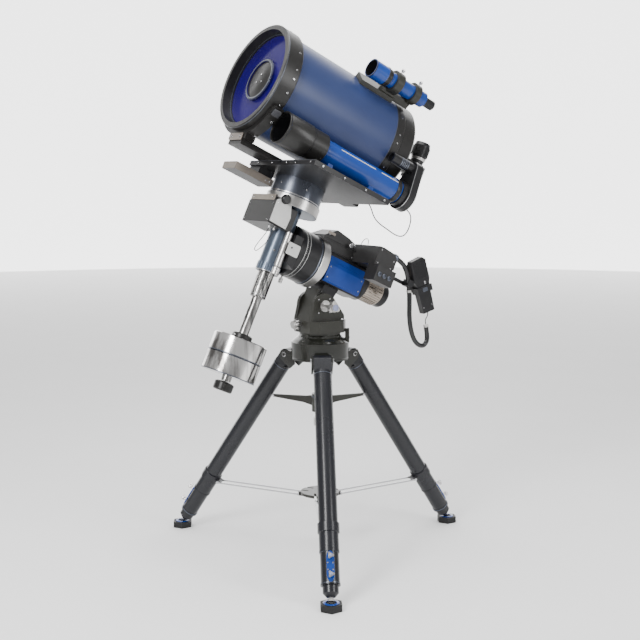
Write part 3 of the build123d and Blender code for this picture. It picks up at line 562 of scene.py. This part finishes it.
def edge_line(name, outline_out, outline_in, low, high, material):
    """A thin raised line along the rim of a plate."""
    count = len(outline_out)
    points = []
    for outline, level in ((outline_in, low), (outline_out, low), (outline_out, high), (outline_in, high)):
        points += [PLATE.at(x, -y, level) for x, y in outline]
    faces = grid_faces(4, count, True)
    faces += [(3 * count + c, 3 * count + (c + 1) % count, (c + 1) % count, c) for c in range(count)]
    mesh = bpy.data.meshes.new(name)
    mesh.from_pydata(points, [], faces)
    return finish_piece(name, mesh, material, "ota")


RIM = teardrop(0.0)
centre_x = sum(p[0] for p in RIM) / len(RIM)
centre_y = sum(p[1] for p in RIM) / len(RIM)


def shrink(outline, share):
    return [(centre_x + (x - centre_x) * share, centre_y + (y - centre_y) * share) for x, y in outline]


edge_line("camera_edge_front", shrink(RIM, 1.006), shrink(RIM, 0.985), -33.6, -31.0, BOLT_STEEL)
edge_line("camera_edge_rear", shrink(RIM, 1.006), shrink(RIM, 0.985), -2.0, 0.6, BOLT_STEEL)
for index, (x, y) in enumerate(((-42, 0), (20, 44), (20, -44), (100, 2), (104, 28))):
    cap_screw(f"camera_screw_{index}", Seat(PLATE.at(x, y, 0.2), HX, HZ), 3.0, 1.8, BOLT_STEEL, "ota")
lathe("camera_rear_knob", Seat(head(345, -150, 380), HX, HZ), [
    (5, 0), (5, 4), (11, 5), (12, 7), (12, 16), (10.5, 18),
], LAVENDER, "ota", 40)
LENS_SEAT = Seat(head(205, -210, 452), HX, HZ)
lathe("camera_small_lens", LENS_SEAT, [(15.8, 16), (12, 14), (6, 12.8), (0.5, 12.4)], LENS, "ota",
      48)
for index in range(5):
    level = 40 + 8 * index
    lathe(f"camera_tube_ring_{index}", LENS_SEAT, [
        (20.0, level), (21.0, level + 0.6), (21.0, level + 3.0), (20.0, level + 3.6), (19, level + 1.8),
        (20.0, level),
    ], GUNMETAL, "ota", 48)
port = Seat(head(345.2, GUIDE_Y - 4, 306), HX, HZ)
lathe("camera_cable_boot", port, [(7, 0), (7, 3), (5.2, 5), (4.4, 13), (3.4, 14)], PLASTIC, "ota",
      36)
exit_boot = Seat(head(172, -205, 256), HX, HZ)
lathe("guide_cable_plug", exit_boot, [(6, -12), (6.6, -11), (6.6, 1), (4.2, 4), (3.0, 9)], PLASTIC, "ota",
      36)

# ---------------------------------------------------------------- finder
out_dir = HZ * cos(FINDER_ANGLE) - HY * sin(FINDER_ANGLE)
side_dir = out_dir.cross(HX)
FINDER = Seat(head(0, 0, OTA_Z) + out_dir * FINDER_DISTANCE * MM, HX, out_dir)
# Painted highlights: thin white strips along the top of the glossy finder, broken where its black band and
# rings stand.
for index, (low, high) in enumerate(((14, 74), (100, 116), (152, 211), (242, 275))):
    reach = 36.03 if low < 90 else 30.03
    shell(f"finder_painted_highlight_{index}", FINDER, reach, 0.25, low, high, -8, 0, WHITE_PAINT_AND_HIGHLIGHT, "ota")
lathe("finder_black_band", FINDER, [
    (36.1, 75), (37.2, 76), (37.2, 81), (34.6, 84), (34.6, 95), (31.2, 99), (30, 99), (30, 75), (36.1, 75),
], CELL_BLACK, "ota", 72)
lathe("finder_lining", FINDER, [
    (32.95, 13), (32.95, 59.6), (32.7, 59.6), (32.7, 13), (32.95, 13),
], DARK_HOLE, "ota", 72)
lathe("finder_front_lip", FINDER, [
    (32.6, 12.6), (34, 11.95), (35.6, 11.95), (36.3, 12.8), (36.3, 15.6), (36.02, 16), (32.6, 16),
    (32.6, 12.6),
], CELL_BLACK, "ota", 72)
lathe("finder_objective", FINDER, [(32.8, 56), (22, 52.5), (10, 50.8), (0.5, 50.3)], LENS, "ota",
      60)
for row, (x, reach) in enumerate(((128, 43), (222, 41))):
    for index, angle in enumerate((0, 120, 240)):
        turn = radians(angle)
        out = out_dir * cos(turn) + side_dir * sin(turn)
        spot = FINDER.origin + HX * (x * MM) + out * reach * MM
        if out.dot(out_dir) > 0:
            lathe(f"finder_thumbscrew_{row}_{index}", Seat(spot, out, HX), [
                (2.2, -1), (2.2, 6), (6.4, 6.6), (7, 8), (7, 16), (6, 17.4),
            ], BOLT_STEEL, "ota", 36)

# ---------------------------------------------------------------- cradle and saddle
for index, (x, angle) in enumerate(((-286, 137), (-282, 163))):
    cap_screw(f"cradle_screw_{index}", ota_rim(angle, 222, x), 6.0, 4.5, BOLT_STEEL, "ota")
for index, (x, y) in enumerate(((-300, 30), (-300, -30), (236, 0))):
    cap_screw(f"rail_screw_{index}", Seat(head(x, y, 285), HZ, HX), 6.0, 4.5, BOLT_STEEL, "ota")
prism("front_rail_plate", Seat(head(-318.2, 0, 291), -HX, HY), rounded(88, 28, 3), 0, 4.2, TAUPE, "ota",
      0.8)
for index, y in enumerate((-30, 30)):
    cap_screw(f"front_rail_screw_{index}", Seat(head(-322.4, y, 291), -HX, HY), 4.2, 2.4, BOLT_STEEL, "ota")
prism("cradle_grey_block", ota_rim(127, 222.2, -296), rounded(30, 26, 3), -0.5, 8, SLATE, "ota",
        0.8)
for index, (x, z, size) in enumerate(((-140, 254, 3.6), (-40, 254, 3.6), (60, 254, 3.6), (150, 254, 3.6))):
    cap_screw(f"saddle_side_screw_{index}", Seat(head(x, -345, z), -HY, HX), size, 2.4, BOLT_STEEL, "ota")
for index, y in enumerate((-318, -220, -160, -60, 40)):
    cap_screw(f"saddle_front_screw_{index}", Seat(head(-177, y, 254), -HX, HY), 3.6, 2.4, BOLT_STEEL, "ota")
prism("saddle_front_edge", Seat(head(-177.1, -121.5, 261.2), -HX, HY), rounded(446, 2.2, 0.8), 0, 0.7, SLATE,
      "ota", 0.2)
prism("accessory_bar_skin", Seat(head(-185, 19.7, 203.5), -HY, HX), rounded(170, 27, 2), 0, 0.8, TAUPE,
        "ota",
      0.3)
prism("accessory_bar_front", Seat(head(-270.1, 69, 203.5), -HX, HY), rounded(98, 27, 2), 0, 0.8, TAUPE,
        "ota",
      0.3)
for index, x in enumerate((-116, -132)):
    cap_screw(f"accessory_bar_screw_{index}", Seat(head(x, 19.0, 203.5), -HY, HX), 3.2, 2.0, BOLT_STEEL,
            "ota")
SADDLE = Seat(head(0, 0, 0), HZ, HX)
lathe("dec_head_bright_ring", SADDLE, [
    (99.1, 181), (99.9, 181.6), (99.9, 185.4), (99.1, 186), (97, 186), (97, 181), (99.1, 181),
], BOLT_STEEL, "ota", 112)
for index in range(6):
    turn = 2 * pi * (index + 0.3) / 6
    out = HX * cos(turn) + HY * sin(turn)
    cap_screw(f"dec_head_screw_{index}", Seat(head(0, 0, 214) + out * 99 * MM, out, HZ), 3.4, 2.2,
            BOLT_STEEL,
              "ota")

# ---------------------------------------------------------------- declination housing and motor
lathe("dec_drive_ring", SADDLE, [
    (104.15, 139.6), (105.0, 140.4), (105.0, 176.2), (104.15, 177.0), (102, 177.0), (102, 139.6),
    (104.15, 139.6),
], ALUMINIUM, "ra", 128)
for index in range(36):
    turn = radians(10 * index)
    out = HX * cos(turn) + HY * sin(turn)
    tick = Seat(head(0, 0, 172) + out * 105.02 * MM, out, HZ)
    prism(f"dec_scale_mark_{index}", tick, rounded(4.2 if index % 3 else 7, 0.7, 0.3, 2), 0, 0.18, DARK_HOLE,
          "ra", 0.0)
END_SEAT = Seat(head(0, -75.05, 0), -HY, HX)
END_OUTLINE = [(-110.5, 54.5), (-34.5, 50.6), (-31, 98), (-51.5, 159), (-75, 165.6), (-111.3, 136.5)]
prism("dec_motor_end_plate", END_SEAT, END_OUTLINE, 0, 1.6, WHITE_PAINT_AND_HIGHLIGHT, "ra", 0.4)
for index, (x, z) in enumerate(((-104, 60), (-42, 57), (-60, 150), (-103, 130))):
    cap_screw(f"dec_end_screw_{index}", Seat(head(x, -76.6, z), -HY, HX), 2.6, 1.6, BOLT_STEEL, "ra")
lathe("clutch_knob_rim", Seat(head(-80, -75.3, 151), -HY, HX), [
    (17.05, 2), (18.0, 2.6), (18.0, 11.4), (17.05, 12), (16, 12), (16, 2), (17.05, 2),
], RUBBER, "clutch", 48)
prism("dec_motor_bar", Seat(head(-112.6, 26, 145.5), -HX, HY), rounded(171, 22, 2), 0, 1.2, BEIGE, "ra",
      0.4)
for index, y in enumerate((-42, 94)):
    cap_screw(f"dec_bar_screw_{index}", Seat(head(-113.8, y, 145.5), -HX, HY), 3.4, 2.0, BOLT_STEEL, "ra")
for index, (y, z) in enumerate(((-58, 58), (110, 58), (-58, 122), (110, 122))):
    cap_screw(f"dec_box_screw_{index}", Seat(head(-112.1, y, z), -HX, HY), 2.8, 1.8, BOLT_STEEL, "ra")
for index, (x, length) in enumerate(((-76, 12), (-54, 12))):
    lathe(f"dec_lead_socket_{index}", Seat(head(x, -30, 48.6), -HZ, HX), [
        (6.5, 0), (6.5, 3), (5.4, 4), (5.4, 9), (3.4, length), (1.6, length + 0.6),
    ], BOLT_STEEL, "ra", 32)
cap_screw("dec_barrel_bolt", Seat(head(-24, -35.8, -30), -HY, HX), 4.2, 2.8, BOLT_STEEL, "ra")
for index, level in enumerate((-112.6, -205)):
    radius = 31.1 if index else 44.2
    lathe(f"dec_bright_line_{index}", SADDLE, [
        (radius, level), (radius + 0.6, level + 0.4), (radius + 0.6, level + 2.4), (radius, level + 2.8),
        (radius - 2, level + 2.8), (radius - 2, level), (radius, level),
    ], BOLT_STEEL, "ra", 80)
cap_screw("lock_collar_screw", Seat(head(-37.6, -6, -372), -HX, HZ), 4.6, 8, BOLT_STEEL, "lock_collar")
WEIGHTS = (("upper_weight", -451.7, -382.0), ("lower_weight", -525.0, -452.0))
for body, bottom, top in WEIGHTS:
    lathe(f"{body}_seam_low", SADDLE, [
        (103.05, bottom + 0.5), (101.4, bottom + 0.1), (99.0, bottom + 0.1), (99.0, bottom + 3.2),
        (103.25, bottom + 4.0), (103.05, bottom + 0.5),
    ], GUNMETAL, body, 128)
    lathe(f"{body}_hub", SADDLE, [
        (19.5, top + 0.02), (34, top + 0.02), (34.5, top + 0.12), (34.5, top + 0.2), (19.5, top + 0.2),
        (19.5, top + 0.02),
    ], GUNMETAL, body, 64)

# ---------------------------------------------------------------- tee, drum and polar housing
prism("tee_white_plate", Seat(head(15.8, -95.05, -9), -HY, HX), rounded(54, 46, 5), 0, 3.0, WHITE_PAINT_AND_HIGHLIGHT,
        "ra",
      0.7)
lathe("tee_plate_button", Seat(head(6, -98.05, -4), -HY, HX), [(3.4, 0), (3.4, 1.2), (2.4, 1.8)], DARK_HOLE,
        "ra",
      28)
POLAR = Seat(head(0, 0, 0), HX, HZ)
for index, x in enumerate((70, 85)):
    lathe(f"setting_circle_line_{index}", POLAR, [
        (98.05, x - 0.7), (98.4, x - 0.4), (98.4, x + 0.4), (98.05, x + 0.7), (97, x + 0.7), (97, x - 0.7),
        (98.05, x - 0.7),
    ], WHITE_PAINT_AND_HIGHLIGHT, "ra", 128)
for index in range(72):
    turn = radians(5 * index)
    out = HZ * cos(turn) + HY * sin(turn)
    long = 6.0 if index % 3 == 0 else 3.6
    tick = Seat(head(70.8 + long / 2, 0, 0) + out * 98.05 * MM, out, HX)
    prism(f"hour_mark_{index}", tick, rounded(long, 0.7, 0.3, 2), -0.05, 0.22, WHITE_PAINT_AND_HIGHLIGHT, "ra",
          0.0)
lathe("ra_drive_ring", POLAR, [
    (100.1, 150), (101.0, 150.8), (101.0, 181.4), (100.1, 182.2), (98, 182.2), (98, 150), (100.1, 150),
], ALUMINIUM, "polar", 128)
lathe("ra_drum_edge", POLAR, [
    (98.05, 140), (98.9, 140.6), (98.9, 145.6), (98.05, 146.2), (96, 146.2), (96, 140), (98.05, 140),
], GUNMETAL, "ra", 128)
for index, (x, z) in enumerate(((208, -40), (364, -40), (208, 2), (364, 2))):
    cap_screw(f"cover_screw_{index}", Seat(head(x, -79.4, z), -HY, HX), 3.0, 1.8, BOLT_STEEL, "polar")
prism("cover_lower_lip", Seat(head(286, -77.2, -52.5), -HY, HX), rounded(176, 3, 1), 0, 1.2, COVER_BLUE,
        "polar",
      0.4)
lathe("rear_polar_cap", POLAR, [
    (50.1, 418), (52.0, 420), (52.0, 500), (50.1, 503), (48, 503), (48, 418), (50.1, 418),
], NICKEL, "polar", 96)
for index in range(32):
    turn = 2 * pi * index / 32
    out = HZ * cos(turn) + HY * sin(turn)
    rib = Seat(head(460, 0, 0) + out * 51.9 * MM, out, HX)
    prism(f"rear_cap_rib_{index}", rib, rounded(76, 4.2, 1.6, 3), -0.5, 1.4, NICKEL, "polar",
            0.4)
for index, (x, z) in enumerate(((165, 116), (292, 116), (165, 72), (296, 72))):
    cap_screw(f"ra_box_screw_{index}", Seat(head(x, -60.1, z), -HY, HX), 2.8, 1.8, BOLT_STEEL, "polar")
prism("ra_box_lid_line", Seat(head(230, -60.05, 100), -HY, HX), rounded(150, 1.6, 0.6), 0, 0.5, DARK_HOLE,
      "polar", 0.1)
prism("motor_box_bracket", Seat(head(172, -60.2, 122), -HY, HX), rounded(34, 10, 2), 0, 3.2, TAUPE, "polar",
      0.6)
lathe("motor_box_knob", Seat(head(268, -60.1, 112), -HY, HX), [
    (4, 0), (4, 3), (8.4, 3.6), (9, 5), (9, 12), (7.8, 13.4),
], BOLT_STEEL, "polar", 40)
for index, (x, z) in enumerate(((322, 124), (392, 104), (322, 72), (388, 72))):
    cap_screw(f"control_box_screw_{index}", Seat(head(x, -195.1, z), -HY, HX), 3.0, 1.9, BOLT_STEEL, "polar")
for index, x in enumerate((328, 352, 376)):
    socket = Seat(head(x, -225.1, 30), -HY, HX)
    lathe(f"control_socket_{index}", socket, [
        (9, 0), (9, 2.6), (7.4, 3.4), (6.2, 3.4), (6.2, 0.8), (0.5, 0.6),
    ], GUNMETAL, "polar", 40)
lathe("sleeve_socket", Seat(sleeve_points[0], sleeve_points[1] - sleeve_points[0], HY), [
    (12.5, -6), (13, -5), (13, 7), (11, 9), (9.7, 9.4),
], GUNMETAL, "polar", 44)

# ---------------------------------------------------------------- handset
HAND = Seat(place(384, HANDSET_Y, 940), Vector((-sin(HANDSET_TILT), 0, cos(HANDSET_TILT))),
            Vector((cos(HANDSET_TILT), 0, sin(HANDSET_TILT))))


def hand(x, y, z):
    return HAND.origin + (HAND.x * x + HY * y + HAND.z * z) * MM



def facing(x, z):
    """A seat on the handset's outer face."""
    return Seat(hand(x, -14.05, z), -HY, HAND.x)


prism("handset_back_panel", facing(0, 172), rounded(58, 66, 7), 0, 1.0, GLOSS_PLASTIC, "polar",
      0.4)
prism("handset_oval_button", facing(10, 118), rounded(8, 14, 3.9), 0, 2.2, BOLT_STEEL, "polar",
        0.6)
for index, (x, z) in enumerate(((-21, 24), (21, 24), (-24, 146), (24, 146))):
    cap_screw(f"handset_screw_{index}", facing(x, z), 2.2, 0.8, BOLT_STEEL, "polar")
for row in range(5):
    for column in range(3):
        key = Seat(hand(-15 + 15 * column, 14.05, 30 + 15 * row), HY, HAND.x)
        prism(f"handset_key_{row}_{column}", key, rounded(10, 7.5, 2.4, 4), 0, 1.8, SLATE, "polar",
              0.5)
prism("handset_display", Seat(hand(0, 14.05, 178), HY, HAND.x), rounded(52, 26, 3), 0, 0.8, LENS, "polar",
      0.3)
prism("handset_clip_screw_plate", Seat(hand(0, -20.1, 93), -HY, HAND.x), rounded(24, 16, 4), 0, 1.4,
        GUNMETAL,
      "polar", 0.4)

# ---------------------------------------------------------------- tripod base
BASE = Seat(place(0, 0, 0), UP, Vector((1, 0, 0)))
lathe("crown_lower_bead", BASE, [
    (112.1, 766), (113.2, 767), (113.2, 771), (112.1, 772), (110, 772), (110, 766), (112.1, 766),
], BASE_BLACK, "tripod", 112)
latch_dir = Vector((0.835, -0.55, 0)).normalized()
latch_seat = Seat(place(0, 0, 0), latch_dir, UP)
prism("crown_latch", latch_seat, [(827, -13), (868, -13), (882, -7), (882, 7), (868, 13), (827, 13)], 97,
        113.4,
      OLIVE_BLACK, "tripod", 1.2)
cap_screw("crown_latch_screw", Seat(latch_seat.at(846, 0, 113.4), latch_dir, UP), 4.2, 2.6, BOLT_STEEL,
        "tripod")
for side, label in ((-1, "near"), (1, "far")):
    cheek = Seat(place(-20, side * 60, 975), HY * side, Vector((1, 0, 0)))
    for index in range(4):
        turn = radians(45 + 90 * index)
        spot = cheek.at(36 * cos(turn), 36 * sin(turn), 0.1)
        cap_screw(f"cheek_screw_{label}_{index}", Seat(spot, HY * side, Vector((1, 0, 0))), 3.6, 2.2,
                BOLT_STEEL,
                  "azimuth_base")
for index, (x, y) in enumerate(((-69, -30), (-69, 42), (62, -60), (62, 60))):
    cap_screw(f"fork_base_screw_{index}", Seat(place(x, y, 917), UP, Vector((1, 0, 0))), 5.0, 5.0,
            BOLT_STEEL,
              "azimuth_base")
lathe("altitude_knob_cap", Seat(place(-20, -138.05, 975), -HY, UP),
        [(12.4, 0), (12.4, 2.2), (10, 4.2), (0.5, 4.8)],
      LAVENDER, "altitude_screw", 48)
lathe("spreader_hub_trim", BASE, [
    (32.1, 610), (33.4, 611), (33.4, 616), (32.1, 617), (30, 617), (30, 610), (32.1, 610),
], GUNMETAL, "spreader", 64)

# ---------------------------------------------------------------- legs
for leg in LEGS:
    turn = LEG_ANGLES[leg]
    out = Vector((cos(turn), sin(turn), 0))
    across = Vector((-sin(turn), cos(turn), 0))
    pivot = place(PIVOT_RADIUS * cos(turn), PIVOT_RADIUS * sin(turn), PIVOT_HEIGHT)
    face = out * cos(LEG_SPREAD) + UP * sin(LEG_SPREAD)
    along = UP * cos(LEG_SPREAD) - out * sin(LEG_SPREAD)
    plate = Seat(pivot + (face * 33.6 + along * -790) * MM, face, along)
    dog_bone = []
    for step in range(48):
        angle = 2 * pi * step / 48
        waist = 13 + 7.5 * abs(cos(angle)) ** 1.5
        dog_bone.append((54 * cos(angle) * (1 - 0.06 * sin(angle) ** 2), waist * sin(angle)))
    prism(f"leg_{leg}_clamp_plate", plate, dog_bone, -3.0, 1.7, BLUE_GLOSS, f"leg_{leg}", 0.8)
    for index, (x, y) in enumerate(((12, 9), (12, -9), (-12, 9), (-12, -9))):
        cap_screw(f"leg_{leg}_plate_screw_{index}", Seat(plate.at(x, y, 1.7), face, along), 2.6, 1.5,
                BOLT_STEEL,
                  f"leg_{leg}")
    barrel = Seat(pivot, along, face)
    for index, (low, high) in enumerate(((-846, -842), (-736, -733), (-60, -57))):
        lathe(f"leg_{leg}_edge_ring_{index}", barrel, [
            (34.05, low), (35.0, low + 0.5), (35.0, high - 0.5), (34.05, high), (33, high), (33, low),
            (34.05, low),
        ], GUNMETAL, f"leg_{leg}", 72)
    for where, level in (("upper", -757.0), ("lower", -822.0)):
        body = f"leg_{leg}_lock_{where}"
        knob_mesh = NODES[f"leg_{leg}_knob_{where}"].data
        vertex_top = max((Vector(v.co) - pivot).dot(face) for v in knob_mesh.vertices)
        spot = pivot + face * (vertex_top + 0.00005) + along * (level * MM)
        lathe(f"leg_{leg}_knob_cap_{where}", Seat(spot, face, along),
                [(5.6, 0), (5.6, 1.0), (4.2, 2.0), (0.5, 2.4)],
              LAVENDER, body, 32)
    foot_low, foot_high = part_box(f"leg_{leg}_foot")
    foot_centre = (Vector(foot_low) + Vector(foot_high)) / 2
    pad = Seat(Vector((foot_centre.x, foot_centre.y, foot_high[2])), UP, out)
    lathe(f"leg_{leg}_foot_ring", pad, [
        (19, 0.02), (27, 0.02), (28.4, 0.8), (28.4, 1.8), (27, 2.6), (19, 2.6), (19, 0.02),
    ], BLUE_GLOSS, f"leg_{leg}_pad", 64)
    stud = Seat(pivot + along * (-889 * MM), along, face)
    lathe(f"leg_{leg}_stud_nut", stud, [
        (4.2, -12), (9.5, -12), (10, -11), (10, -3), (9.5, -2), (4.2, -2), (4.2, -12),
    ], CHROME, f"leg_{leg}_lower", 6, 20.0)
    lathe(f"leg_{leg}_pivot_cap_left", Seat(pivot + across * (40.6 * MM), across, UP), [
        (9, 0), (9, 2.6), (7.6, 4.0), (0.5, 4.4),
    ], BOLT_STEEL, "tripod", 40)
    lathe(f"leg_{leg}_pivot_cap_right", Seat(pivot - across * (40.6 * MM), -across, UP), [
        (9, 0), (9, 2.6), (7.6, 4.0), (0.5, 4.4),
    ], BOLT_STEEL, "tripod", 40)
    tip = Seat(place(205 * cos(turn), 205 * sin(turn), 600), across, UP)
    lathe(f"spreader_pin_{leg}", tip, [(3.2, -7), (3.6, -6.4), (3.6, 6.4), (3.2, 7)], BOLT_STEEL, "spreader",
          28)

# ---------------------------------------------------------------- floor, backdrop and light
FLOOR_HALF, FLOOR_DROP = 30, 0.0005
WORLD_STRENGTH, WALL_GLOW = 0.55, 2.6
floor_mesh = bpy.data.meshes.new("floor")
floor_mesh.from_pydata([(-FLOOR_HALF, -FLOOR_HALF, 0), (FLOOR_HALF, -FLOOR_HALF, 0),
                        (FLOOR_HALF, FLOOR_HALF, 0), (-FLOOR_HALF, FLOOR_HALF, 0)], [], [(0, 1, 2, 3)])
floor = bpy.data.objects.new("floor", floor_mesh)
floor.location.z = -FLOOR_DROP
floor_mesh.materials.append(surface("floor_white", (0.86, 0.86, 0.86), 0.8, variation=0.01, scale=2.0,
        bump=0.0))
bpy.context.scene.collection.objects.link(floor)

world = bpy.data.worlds.new("studio")
bpy.context.scene.world = world
world.use_nodes = True
world.node_tree.nodes["Background"].inputs["Color"].default_value = (1.0, 1.0, 1.0, 1)
world.node_tree.nodes["Background"].inputs["Strength"].default_value = WORLD_STRENGTH

# a lit white wall far behind the object
WALL_DISTANCE, WALL_HEIGHT, WALL_HALF_ANGLE, WALL_STEPS = 14.0, 12.0, 50, 24
wall_points = []
for level in (-0.5, WALL_HEIGHT):
    for step in range(WALL_STEPS + 1):
        bearing = atan2(EYE_SIDE, EYE_BACK) + radians(WALL_HALF_ANGLE) * (2 * step / WALL_STEPS - 1)
        wall_points.append((WALL_DISTANCE * cos(bearing), WALL_DISTANCE * sin(bearing), level))
wall_mesh = bpy.data.meshes.new("backdrop")
wall_mesh.from_pydata(wall_points, [], grid_faces(2, WALL_STEPS + 1, False))
wall = bpy.data.objects.new("backdrop", wall_mesh)
wall_paint = surface("backdrop_white", (0.9, 0.9, 0.9), 0.9, variation=0.01, scale=2.0, bump=0.0)
wall_shader = wall_paint.node_tree.nodes["Principled BSDF"]
wall_shader.inputs["Emission Color"].default_value = (1.0, 1.0, 1.0, 1)
wall_shader.inputs["Emission Strength"].default_value = WALL_GLOW
wall_mesh.materials.append(wall_paint)
bpy.context.scene.collection.objects.link(wall)

middle = place(0, 0, 1150)


def softbox(name, offset, size, power):
    """A large square lamp that faces the object."""
    lamp = bpy.data.lights.new(name, "AREA")
    lamp.shape = "RECTANGLE"
    lamp.size, lamp.size_y = size
    lamp.energy = power
    lamp_object = bpy.data.objects.new(name, lamp)
    lamp_object.location = middle + Vector(offset)
    lamp_object.rotation_euler = (-Vector(offset)).to_track_quat("-Z", "Y").to_euler()
    bpy.context.scene.collection.objects.link(lamp_object)


softbox("key_left", (-3.4, -1.4, 1.7), (1.0, 2.4), 170)
softbox("fill_right", (1.4, -3.8, 1.0), (0.9, 2.2), 80)
softbox("top", (-0.2, -0.4, 3.4), (3.2, 3.2), 190)
